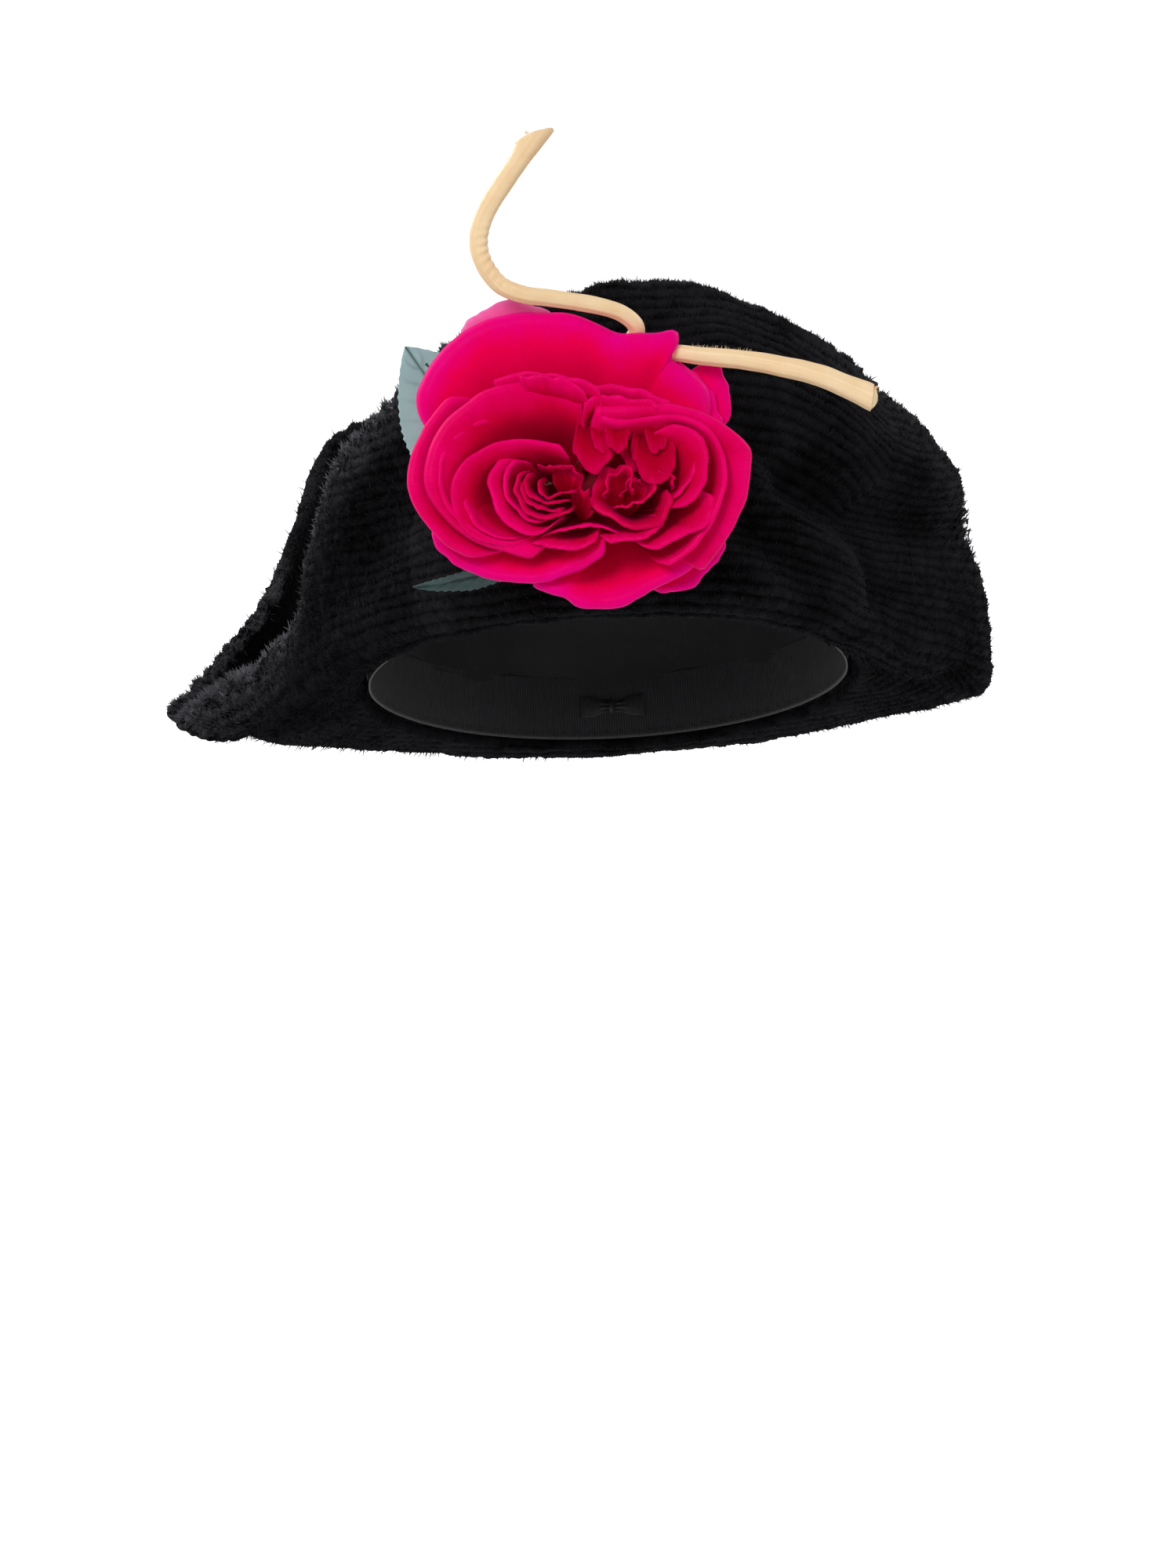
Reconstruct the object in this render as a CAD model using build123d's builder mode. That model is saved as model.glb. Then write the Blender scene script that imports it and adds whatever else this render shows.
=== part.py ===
"""Black plush hat with its brim turned up front and back, trimmed with a silk rose and two quills.

Millimetres, +Z up, worn pose: the front of the hat faces -Y and the wearer's head leaves downwards.
The origin is the centre of the head opening. The hat sits tipped back, so its own plane is tilted:
in that plane the head opening is an oval, and every brim line is a reach out from the oval and a
height above it.
"""
import os
from collections import namedtuple
from math import cos, radians, sin

from build123d import *

os.makedirs("parts", exist_ok=True)

# ---------------------------------------------------------------- driving dimensions
head_half_width = 76.0
head_half_length = 95.0
tip_back = 29.0
tip_sideways = 3.0

sweatband_thickness = 0.5
sweatband_height = 22.0
bow_half_length = 11.0
bow_height = 7.0
bow_thickness = 1.6
lining_thickness = 0.4
lining_seam_height = 60.0
foundation_thickness = 0.8
plush_thickness = 2.0
interlining_thickness = 0.6
layer_gap = 0.2
crown_height = 90.0
crown_seam_height = 52.0
seam_gap = 0.2
interlining_share = 0.95
fold_sharpness = 2.2

rose_seat_row = 7
rose_seat_share = 0.36
felt_thickness = 1.5
felt_radius = 27.0
receptacle_radius = 22.0
receptacle_thickness = 5.0
petal_thickness = 0.35
petal_height = 25.0
petal_root_share = 0.27
stamen_radius = 0.3
stamen_ring = 1.6
stamen_count = 6
stamen_height = 14.0
stitch_radius = 0.3
stitch_length = 5.0
stitch_count = 6

leaf_thickness = 0.45
leaf_depth = 4.2
leaf_wire_radius = 0.45
piece_gap = 0.15

curled_quill_tip_radius = 3.0
curled_quill_foot_radius = 2.3
straight_quill_tip_radius = 3.6
straight_quill_foot_radius = 2.1
quill_foot_spacing = 5.4
quill_clearance = 0.6
quill_sections = 41
binding_thickness = 0.7
binding_width = 4.0

# Crown outline: share of its height, share of its width
crown_profile = [
    (0.0, 1.0), (0.3, 0.985), (0.55, 0.93), (0.75, 0.82), (0.88, 0.66), (0.96, 0.46), (1.0, 0.22),
]

# Brim lines by angle round the head oval: 180 is the hat's left point as seen from the front, 270 the
# front, 360 the right point and 90 the back. Reaches run out from the crown, heights up from the oval.
Station = namedtuple(
    "Station", "angle fold_reach fold_height middle_reach middle_height edge_reach edge_height"
)
left_point = (177, 44, -13, 46, -10, 57, 3)
right_point = (361, 38, -12, 43, -8, 45, 5)
front_brim_table = [
    left_point,
    (184, 26, -12, 29, -4, 33, 9),
    (194, 16, -8, 17, 6, 16, 22),
    (204, 12, -5, 12, 20, 15, 39),
    (216, 9, -3, 11, 29, 15, 59),
    (230, 8, -1, 11, 36, 13, 70),
    (246, 10, -1, 15, 44, 12, 85),
    (269, 14, -3, 19, 50, 9, 97),
    (284, 15, -3, 19, 52, 9, 100),
    (300, 13, -5, 19, 48, 12, 96),
    (313, 11, -7, 20, 42, 20, 86),
    (324, 11, -8, 22, 35, 28, 72),
    (335, 16, -10, 26, 27, 35, 57),
    (345, 24, -11, 31, 14, 39, 37),
    (353, 32, -12, 36, 3, 39, 17),
    right_point,
]
back_brim_table = [
    (1,) + right_point[1:],
    (8, 40, -10, 38, 4, 38, 19),
    (16, 37, -9, 34, 16, 29, 44),
    (27, 33, -7, 30, 34, 17, 78),
    (40, 28, -6, 27, 46, 9, 97),
    (56, 22, -5, 24, 50, 8, 103),
    (75, 17, -4, 21, 52, 12, 104),
    (92, 16, -4, 20, 52, 14, 104),
    (110, 18, -4, 21, 52, 12, 105),
    (126, 24, -5, 25, 53, 8, 108),
    (142, 34, -8, 29, 54, 6, 112),
    (152, 41, -10, 33, 46, 18, 101),
    (160, 46, -11, 37, 33, 27, 72),
    (168, 47, -12, 41, 18, 34, 42),
    (173, 44, -11, 43, 6, 43, 24),
    left_point,
]

# ---------------------------------------------------------------- the hat's own plane and its layers
hat_axis = Vector(0, 0, 1).rotate(Axis.X, -tip_back).rotate(Axis.Y, -tip_sideways)
hat_right = Vector(1, 0, 0).rotate(Axis.Y, -tip_sideways)
hat = Plane(origin=(0, 0, 0), x_dir=hat_right, z_dir=hat_axis)

lining_inside = sweatband_thickness + layer_gap
lining_outside = lining_inside + lining_thickness
foundation_inside = lining_outside + layer_gap
foundation_outside = foundation_inside + foundation_thickness
cover_inside = foundation_outside + layer_gap
cover_outside = cover_inside + plush_thickness
brim_start = cover_outside + seam_gap + layer_gap
half_core = interlining_thickness / 2
plush_near = half_core + layer_gap
plush_far = plush_near + plush_thickness


def finish(piece, name):
    """Label a finished piece and write it as its own STEP file."""
    piece.part.label = name
    export_step(piece.part, f"parts/{name}.step")


# ---------------------------------------------------------------- crown, lining and sweatband
def dome_sections(offset):
    """Level ovals up the crown's dome, grown outwards from the head oval by an offset."""
    sections = []
    for height_share, width_share in crown_profile:
        with BuildSketch(hat.offset(height_share * (crown_height + offset))) as section:
            Ellipse((head_half_width + offset) * width_share, (head_half_length + offset) * width_share)
        sections.append(section.sketch)
    return sections


def dome_layer(name, inside, outside, bottom=None, top=None):
    """One fabric layer of the crown, between two offsets and two heights."""
    with BuildPart() as piece:
        loft(dome_sections(outside))
        loft(dome_sections(inside), mode=Mode.SUBTRACT)
        if bottom is not None:
            split(bisect_by=hat.offset(bottom), keep=Keep.TOP)
        if top is not None:
            split(bisect_by=hat.offset(top), keep=Keep.BOTTOM)
    finish(piece, name)


dome_layer("crown_side", cover_inside, cover_outside, top=crown_seam_height - seam_gap / 2)
dome_layer("crown_tip", cover_inside, cover_outside, bottom=crown_seam_height + seam_gap / 2)
dome_layer("crown_foundation", foundation_inside, foundation_outside)
dome_layer("lining_side", lining_inside, lining_outside, top=lining_seam_height - seam_gap / 2)
dome_layer("lining_tip", lining_inside, lining_outside, bottom=lining_seam_height + seam_gap / 2)
dome_layer("sweatband", 0, sweatband_thickness, top=sweatband_height)


# ---------------------------------------------------------------- the turned-up brim
profile_shares = [step / 14 for step in range(15)]


def spoke(angle):
    """Upright plane standing on the brim's root, its x axis running straight out from the oval."""
    width, length = head_half_width + brim_start, head_half_length + brim_start
    foot = hat.from_local_coords(Vector(width * cos(radians(angle)), length * sin(radians(angle)), 0))
    out = hat.from_local_coords(Vector(length * cos(radians(angle)), width * sin(radians(angle)), 0))
    return Plane(origin=foot, x_dir=out, z_dir=out.cross(hat.z_dir))


def brim_line(station):
    """Middle line of the brim in its spoke, from the root round the fold to the free edge."""
    fold = (station.fold_reach, station.fold_height)
    middle = (station.middle_reach, station.middle_height)
    edge = (station.edge_reach, station.edge_height)
    return Bezier((0, 0), fold, middle, edge, weights=[1, fold_sharpness, fold_sharpness, 1])


def offset_line(line, distance, last=1.0):
    """Points of a line moved sideways, outwards and down for a positive distance."""
    points = []
    for share in profile_shares:
        direction = line % (share * last)
        sideways = Vector(direction.Y, -direction.X, 0)
        points.append(line @ (share * last) + sideways * distance)
    return points


def brim_layer(name, table, near, far, last=1.0):
    """One fabric layer of a brim panel between two offsets, up to a last share of the way to the edge."""
    sections = []
    for row in table:
        station = Station(*row)
        line = brim_line(station)
        with BuildSketch(spoke(station.angle)) as section:
            with BuildLine():
                inner = Spline(*offset_line(line, near, last))
                outer = Spline(*offset_line(line, far, last))
                Line(inner @ 0, outer @ 0)
                Line(inner @ 1, outer @ 1)
            make_face()
        sections.append(section.sketch)
    with BuildPart() as piece:
        loft(sections)
    finish(piece, name)


for panel, table in (("front_brim", front_brim_table), ("back_brim", back_brim_table)):
    brim_layer(f"{panel}_face", table, plush_near, plush_far)
    brim_layer(f"{panel}_interlining", table, -half_core, half_core, interlining_share)
    brim_layer(f"{panel}_lining", table, -plush_far, -plush_near)


# ---------------------------------------------------------------- flat bow at the back of the sweatband
bow_centre = hat.from_local_coords(Vector(0, head_half_length, sweatband_height / 2))
with BuildPart() as sweatband_bow:
    with BuildSketch(Plane(origin=bow_centre, x_dir=hat.x_dir, z_dir=hat.y_dir)):
        with BuildLine():
            Polyline(
                (0, bow_height / 4),
                (bow_half_length, bow_height / 2),
                (bow_half_length, -bow_height / 2),
                (0, -bow_height / 4),
                (-bow_half_length, -bow_height / 2),
                (-bow_half_length, bow_height / 2),
                close=True,
            )
        make_face()
    extrude(amount=head_half_length / 2, both=True)
    loft(dome_sections(-layer_gap), mode=Mode.INTERSECT)
    loft(dome_sections(-layer_gap - bow_thickness), mode=Mode.SUBTRACT)
finish(sweatband_bow, "sweatband_bow")

# ---------------------------------------------------------------- the rose's seat on the front of the brim
seat_station = Station(*front_brim_table[rose_seat_row])
seat_spoke = spoke(seat_station.angle)
seat_line = brim_line(seat_station)
seat_direction = seat_line % rose_seat_share
seat_out = seat_spoke.x_dir * seat_direction.Y - seat_spoke.y_dir * seat_direction.X
seat_in_spoke = seat_line @ rose_seat_share + Vector(seat_direction.Y, -seat_direction.X, 0) * plush_far
rose = Plane(
    origin=seat_spoke.from_local_coords(seat_in_spoke),
    x_dir=-seat_spoke.z_dir,
    z_dir=seat_out,
)
felt_front = layer_gap + felt_thickness
receptacle_back = felt_front + layer_gap
petal_base = receptacle_back + receptacle_thickness + layer_gap

with BuildPart() as rose_felt:
    with BuildSketch(rose.offset(layer_gap)):
        Circle(felt_radius)
    extrude(amount=felt_thickness)
finish(rose_felt, "rose_felt")

with BuildPart() as rose_receptacle:
    with BuildSketch(rose.offset(receptacle_back)):
        Circle(receptacle_radius)
    extrude(amount=receptacle_thickness)
    back_face = rose_receptacle.faces().sort_by(Axis(rose.origin, rose.z_dir))[0]
    chamfer(back_face.edges(), receptacle_thickness / 3)
finish(rose_receptacle, "rose_receptacle")

with BuildPart() as rose_stitches:
    for turn in range(stitch_count):
        direction = rose.x_dir.rotate(Axis((0, 0, 0), rose.z_dir), 360 * (turn + 0.5) / stitch_count)
        start = rose.offset(felt_front + layer_gap / 3 + stitch_radius).origin
        start += direction * (receptacle_radius + piece_gap + stitch_radius)
        with BuildSketch(Plane(origin=start, z_dir=direction)):
            Circle(stitch_radius)
        extrude(amount=stitch_length)
finish(rose_stitches, "rose_stitches")

# ---------------------------------------------------------------- petals
# Each petal is a stretch of an oval cup wall round the rose's axis. Centre, half width and half height
# of its oval, the angle where it starts and how far it sweeps, and the height of its rim over the base.
Petal = namedtuple("Petal", "name centre_x centre_y half_width half_height start sweep rim")
petal_table = [
    ("petal_back_top", -19, 2, 36, 53, 62, 70, 10),
    ("petal_upper", -6, 2, 43, 48, 42, 118, 12),
    ("petal_upper_right", -1, 0, 43, 41, 8, 30, 8),
    ("petal_far_right", 2, 0, 46, 36, 2, 36, 5),
    ("petal_lower_left", -4, -3, 47, 36, 182, 52, 13),
    ("petal_bottom", 0, -2, 45, 36, 240, 58, 13),
    ("petal_lower_right", 1, -3, 46, 38, 302, 50, 13),
    ("petal_left_1", -5, -5, 45, 31, 98, 142, 23),
    ("petal_left_2", -5, -5, 41, 28.5, 112, 143, 24),
    ("petal_left_3", -5, -5, 37, 26, 92, 138, 23),
    ("petal_left_4", -5, -5, 33.5, 23.5, 122, 138, 24),
    ("petal_left_5", -5, -5, 30, 21, 102, 138, 22),
    ("petal_left_6", -5, -5, 26.5, 18.5, 126, 124, 23),
    ("petal_left_7", -5, -5, 23, 16, 106, 118, 21),
    ("petal_right_1", 2, -5, 46, 32, 300, 138, 24),
    ("petal_right_2", 2, -5, 42, 29, 292, 140, 23),
    ("petal_right_3", 2, -5, 38.5, 26.5, 304, 132, 24),
    ("petal_right_4", 2, -5, 35, 24, 296, 138, 22),
    ("petal_right_5", 2, -5, 31.5, 21.5, 306, 126, 21),
    ("petal_lower_1", -1, -5, 38, 33.5, 256, 36, 21),
    ("petal_lower_2", -1, -5, 35, 30, 264, 24, 20),
    ("petal_lower_3", -1, -5, 32, 26.5, 268, 18, 19),
    ("petal_left_swirl_1", -9, -6, 15, 11.5, 55, 190, 20),
    ("petal_left_swirl_2", -9, -6, 11.5, 8.8, 150, 170, 19),
    ("petal_left_swirl_3", -9, -6, 8, 6, 20, 190, 18),
    ("petal_right_swirl_1", 12, -7, 13, 10.5, 205, 210, 20),
    ("petal_right_swirl_2", 12, -7, 10, 8, 300, 190, 19),
    ("petal_right_swirl_3", 12, -7, 7, 5.5, 180, 190, 18),
    ("petal_core_1", 6, 8, 9, 4.5, 20, 140, 18),
    ("petal_core_2", 6, 8, 7, 3, 200, 140, 17),
    ("petal_core_3", 6, 8, 4.5, 2.2, 30, 130, 16),
]
petal_levels = (0.0, 0.3, 0.65, 1.0)


def bloom(height):
    """How far the cup has opened at a height over the petals' base, as a share of its full width."""
    return petal_root_share + (1 - petal_root_share) * sin(radians(90 * height / petal_height))


for row in petal_table:
    petal = Petal(*row)
    levels = []
    for level in petal_levels:
        size = bloom(level * petal.rim) / bloom(petal.rim)
        centre = (petal.centre_x * size, petal.centre_y * size)
        width, height = petal.half_width * size, petal.half_height * size
        with BuildSketch(rose.offset(petal_base + level * petal.rim)) as section:
            with BuildLine():
                outside = EllipticalCenterArc(centre, width, height, petal.start, arc_size=petal.sweep)
                inner_width, inner_height = width - petal_thickness, height - petal_thickness
                inside = EllipticalCenterArc(
                    centre, inner_width, inner_height, petal.start, arc_size=petal.sweep
                )
                Line(outside @ 0, inside @ 0)
                Line(outside @ 1, inside @ 1)
            make_face()
        levels.append(section.sketch)
    with BuildPart() as piece:
        loft(levels)
    finish(piece, petal.name)

with BuildPart() as rose_stamens:
    for turn in range(stamen_count):
        spread = Vector(stamen_ring * (1 + turn % 2), 0, 0).rotate(Axis.Z, 360 * turn / stamen_count)
        foot = rose.offset(petal_base).from_local_coords(spread * petal_root_share)
        head = rose.offset(petal_base + stamen_height).from_local_coords(spread)
        with BuildSketch(Plane(origin=foot, z_dir=head - foot)):
            Circle(stamen_radius)
        extrude(amount=(head - foot).length)
finish(rose_stamens, "rose_stamens")


# ---------------------------------------------------------------- leaves and their wires
def leaf(name, foot, point, half_width, turn, depth):
    """Pointed leaf from its foot to its point beside the rose, turned about its own midrib."""
    ground = rose.offset(depth)
    start = ground.from_local_coords(Vector(*foot, 0))
    along = ground.from_local_coords(Vector(*point, 0)) - start
    up = rose.z_dir.rotate(Axis((0, 0, 0), along), turn)
    blade = Plane(origin=start, x_dir=along, z_dir=up)
    length = along.length
    with BuildPart() as leaf_blade:
        with BuildSketch(blade.offset(leaf_wire_radius + piece_gap)):
            with BuildLine():
                Spline((0, 0), (length * 0.4, half_width), (length, 0))
                Spline((0, 0), (length * 0.4, -half_width), (length, 0))
            make_face()
        extrude(amount=leaf_thickness)
    finish(leaf_blade, name)
    with BuildPart() as leaf_wire:
        with BuildSketch(Plane(origin=start, z_dir=along)):
            Circle(leaf_wire_radius)
        extrude(amount=length * 0.85)
    finish(leaf_wire, f"{name}_wire")


leaf("leaf_left", (-20.6, 8.6), (-50, 47), 11.5, 0, leaf_depth)
leaf("leaf_lower", (-15.2, -16.5), (-51.5, -25.7), 7, -60, leaf_depth)

# ---------------------------------------------------------------- quills and the binding round their feet
foot_x = 13.0
foot_run = 9.0
foot_y = receptacle_radius - 1.0
foot_depth = felt_front + layer_gap + binding_thickness + quill_clearance + curled_quill_foot_radius
curled_route = [
    (-9.3, 96.8, 40), (-16.9, 87.8, 36), (-24.6, 77.5, 32.5), (-27, 69.8, 30), (-25.7, 63.5, 28),
    (-21.5, 58, 26), (-15.1, 55.2, 24.5), (-7.6, 54.2, 22.5), (5.3, 51.9, 20), (13, 49.4, 17.5),
    (16.5, 45.5, 14.5), (13.4, 40.5, 10.5), (11, 35, 6.9),
]
straight_route = [
    (82.8, 19.6, 24), (69.3, 26.6, 23), (56.5, 31, 21), (45.5, 33.9, 19), (35, 36, 16.5),
    (26.5, 38, 13.8), (20.8, 37.2, 10.8), (16.8, 33.8, 7.2),
]


def quill(name, route, tip_radius, foot_radius):
    """Stripped quill, lofted along its route from the cut end down to its foot behind the rose."""
    points = [rose.from_local_coords(Vector(*point)) for point in route]
    path = Spline(*points)
    sections = []
    for step in range(quill_sections):
        share = step / (quill_sections - 1)
        across = (path % share).cross(rose.z_dir)
        with BuildSketch(Plane(origin=path @ share, x_dir=across, z_dir=path % share)) as section:
            Circle(tip_radius + (foot_radius - tip_radius) * share)
        sections.append(section.sketch)
    with BuildPart() as shaft:
        loft(sections)
    finish(shaft, name)


curled_foot_x = foot_x - quill_foot_spacing / 2
straight_foot_x = foot_x + quill_foot_spacing / 2
curled_route += [(curled_foot_x, foot_y + foot_run, foot_depth), (curled_foot_x, foot_y, foot_depth)]
straight_route += [(straight_foot_x, foot_y + foot_run, foot_depth), (straight_foot_x, foot_y, foot_depth)]
quill("quill_curled", curled_route, curled_quill_tip_radius, curled_quill_foot_radius)
quill("quill_straight", straight_route, straight_quill_tip_radius, straight_quill_foot_radius)

binding_origin = rose.from_local_coords(Vector(foot_x, foot_y + 0.5, foot_depth))
binding_hole = 2 * (curled_quill_foot_radius + quill_clearance)
with BuildPart() as stem_binding:
    with BuildSketch(Plane(origin=binding_origin, x_dir=rose.x_dir, z_dir=rose.y_dir)):
        SlotCenterToCenter(quill_foot_spacing, binding_hole + 2 * binding_thickness)
        SlotCenterToCenter(quill_foot_spacing, binding_hole, mode=Mode.SUBTRACT)
    extrude(amount=binding_width)
finish(stem_binding, "stem_binding")
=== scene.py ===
# %% [markdown]
# # A plush bicorne hat with a silk rose
# This lesson dresses a measured model of a hat. The model's solids give every size and place, and
# each soft part is then made again as cloth, pile or silk, on the very spot where its solid lies.
# The hat stands as it is worn: +Z is up and its front looks along -Y.

# %% Load the frame
import random
from bisect import bisect_left
from collections import namedtuple
from math import cos, exp, hypot, pi, radians, sin

import bmesh
import bpy
from mathutils import Matrix, Vector, noise


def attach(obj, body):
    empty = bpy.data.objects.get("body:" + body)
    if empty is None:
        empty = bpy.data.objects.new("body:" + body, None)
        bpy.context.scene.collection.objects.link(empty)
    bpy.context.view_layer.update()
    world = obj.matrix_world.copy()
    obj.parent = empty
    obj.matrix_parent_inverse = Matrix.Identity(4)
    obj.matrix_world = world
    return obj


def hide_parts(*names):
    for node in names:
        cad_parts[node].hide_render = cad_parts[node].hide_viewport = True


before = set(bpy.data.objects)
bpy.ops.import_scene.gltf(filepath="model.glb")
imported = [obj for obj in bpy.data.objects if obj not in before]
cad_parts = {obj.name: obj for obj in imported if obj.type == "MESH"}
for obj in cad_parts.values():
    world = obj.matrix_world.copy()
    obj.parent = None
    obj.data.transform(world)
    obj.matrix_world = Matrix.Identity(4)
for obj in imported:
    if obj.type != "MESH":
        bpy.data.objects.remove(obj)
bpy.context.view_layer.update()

print("nodes", len(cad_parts))

# %% [markdown]
# ## Units and helpers
# The hatter's tables below are in millimetres, because a rib, a hem and a stitch are all a few of
# them. Blender's unit here is the metre, so one number turns the one into the other as a piece is
# finished. Every piece is finished the same way: its doubles are merged, its faces are turned
# outwards, and it is told which part of the frame it rides on and which solids it stands for.

# %% Helpers that finish a mesh as a piece
MM = 0.001


def finish_piece(shape, name, nodes, material, smooth=True, weld=0.004):
    """Turn a bmesh in millimetres into a piece in metres that stands for some solids of the frame.

    A shape that has already been told which faces are smooth passes smooth=False.
    """
    if weld:
        bmesh.ops.remove_doubles(shape, verts=shape.verts, dist=weld)
    bmesh.ops.recalc_face_normals(shape, faces=shape.faces)
    bmesh.ops.scale(shape, vec=(MM, MM, MM), verts=shape.verts)
    mesh = bpy.data.meshes.new(name)
    shape.to_mesh(mesh)
    shape.free()
    piece = bpy.data.objects.new(name, mesh)
    bpy.context.scene.collection.objects.link(piece)
    if smooth:
        mesh.shade_smooth()
    mesh.materials.append(material)
    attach(piece, "root")
    if nodes:
        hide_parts(*nodes)
    print(name, "has", len(mesh.polygons), "faces")
    return piece


def smoothly(share):
    """Ease a share from 0 to 1, with no corner at either end."""
    share = max(0.0, min(1.0, share))
    return share * share * (3 - 2 * share)


def along_rows(rows, place):
    """A row of a table at a fractional place, on a smooth curve through the rows."""
    place = max(0.0, min(len(rows) - 1.0, place))
    first = min(int(place), len(rows) - 2)
    step = place - first
    start, end = rows[first], rows[first + 1]
    before = rows[first - 1] if first else [2 * a - b for a, b in zip(start, end)]
    after = rows[first + 2] if first + 2 < len(rows) else [2 * b - a for a, b in zip(start, end)]
    values = []
    for w, x, y, z in zip(before, start, end, after):
        slope, bend = y - w, 2 * w - 5 * x + 4 * y - z
        values.append(x + 0.5 * step * (slope + step * (bend + step * (3 * x - w - 3 * y + z))))
    return values


# %% [markdown]
# ## Shader sums written as Python
# A procedural finish is mostly arithmetic on patterns. Wiring each Math node by hand hides the
# idea, so a small class wraps a socket and lets + - * / stand for the nodes. Colours and vectors go
# through Mix and Vector Math instead, because a Math node would turn a colour grey.

# %% A socket that can do sums, and a finish that holds its nodes
class Wire:
    """The output of a node, ready for sums."""

    def __init__(self, finish, socket):
        self.finish = finish
        self.socket = socket

    def sum(self, operation, first, second):
        return self.finish.node("ShaderNodeMath", {"operation": operation}, {0: first, 1: second})

    def __add__(self, other):
        return self.sum("ADD", self, other)

    def __sub__(self, other):
        return self.sum("SUBTRACT", self, other)

    def __mul__(self, other):
        return self.sum("MULTIPLY", self, other)

    def __truediv__(self, other):
        return self.sum("DIVIDE", self, other)

    __radd__ = __add__

    def clamp(self):
        """The same value, kept between 0 and 1."""
        return self.sum("MINIMUM", self.sum("MAXIMUM", self, 0.0), 1.0)

    def between(self, low, high):
        """0 below low and 1 above high, evenly between them."""
        return ((self - low) / (high - low)).clamp()


class Finish:
    """A material under construction."""

    def __init__(self, name):
        self.material = bpy.data.materials.new(name)
        self.material.use_nodes = True
        self.tree = self.material.node_tree
        self.tree.nodes.clear()
        self.spot = self.node("ShaderNodeTexCoord", output="Object")

    def node(self, kind, settings=None, inputs=None, output=0):
        """Add any node: its settings first, then the values or links of its sockets."""
        node = self.tree.nodes.new(kind)
        for key, value in (settings or {}).items():
            if key == "stops":
                ramp = node.color_ramp
                for place, colour in value[1:-1]:
                    ramp.elements.new(place)
                for element, (place, colour) in zip(ramp.elements, value):
                    element.position = place
                    element.color = (*colour, 1)
            else:
                setattr(node, key, value)
        for key, value in (inputs or {}).items():
            if isinstance(value, Wire):
                self.tree.links.new(value.socket, node.inputs[key])
            elif isinstance(value, tuple) and len(value) == 3 and node.inputs[key].type == "RGBA":
                node.inputs[key].default_value = (*value, 1)
            else:
                node.inputs[key].default_value = value
        return None if output is None else Wire(self, node.outputs[output])

    def attribute(self, name, output="Fac"):
        return self.node("ShaderNodeAttribute", {"attribute_name": name}, output=output)

    def stretched(self, scale, source):
        """An attribute's coordinates, scaled along each axis."""
        return self.node("ShaderNodeMapping", None, {"Vector": source, "Scale": scale})

    def cloudy(self, size, detail=3.0, roughness=0.55, source=None):
        """Soft noise with patches of about this size, in the unit of its source."""
        inputs = {
            "Vector": source or self.spot, "Scale": 1 / size, "Detail": detail, "Roughness": roughness,
        }
        return self.node("ShaderNodeTexNoise", None, inputs, "Fac")

    def blend(self, share, first, second):
        """A colour between two colours."""
        return self.node("ShaderNodeMix", {"data_type": "RGBA"}, {0: share, 6: first, 7: second}, 2)

    def bump(self, height, distance, strength=1.0):
        """A normal that is tilted by a height pattern as deep as a distance in metres."""
        inputs = {"Height": height, "Distance": distance, "Strength": strength}
        return self.node("ShaderNodeBump", None, inputs)

    def surface(self, **sockets):
        """Close the finish with a Principled shader; underscores in names stand for spaces."""
        inputs = {key.replace("_", " "): value for key, value in sockets.items()}
        shader = self.node("ShaderNodeBsdfPrincipled", None, inputs)
        self.node("ShaderNodeOutputMaterial", None, {"Surface": shader}, None)
        print("finish", self.material.name, "uses", len(self.tree.nodes), "nodes")
        return self.material

# %% [markdown]
# ## The hat's own axes
# A hat like this is worn tipped back and a little to one side. Its oval opening has its own up,
# right and back directions, and the crown, the brim and the lining are all laid out along those.

# %% The tip of the hat and the size of its opening
tip_back = 29
tip_sideways = 3
lean = Matrix.Rotation(radians(-tip_sideways), 3, "Y") @ Matrix.Rotation(radians(-tip_back), 3, "X")
hat_up = lean @ Vector((0, 0, 1))
hat_right = Matrix.Rotation(radians(-tip_sideways), 3, "Y") @ Vector((1, 0, 0))
hat_back = hat_up.cross(hat_right)
head_half_width = 76.0
head_half_length = 95.0
cover_outside = 4.3
root_gap = 4.7
plush_reach = 2.5
print("hat axis", [round(value, 3) for value in hat_up])

# %% [markdown]
# ## Black plush
# Plush is a woven ground with a dense pile standing on it. Here the pile is cut in rounded ribs a
# few millimetres apart. Hair particles would be heavy and wouldn't leave Blender as a plain mesh, so
# the pile is real geometry: a fine grid follows the ribs, every face is poked, and each poked point
# is lifted and leaned the way the nap lies. A little sheen on a nearly black ground gives the soft
# pale haze that plush shows where it turns away from the eye. The colour adds painted shade in the
# rib valleys and between the tufts, and a painted highlight on loose pile near an edge, strongest
# near the left point of the brim.

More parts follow.
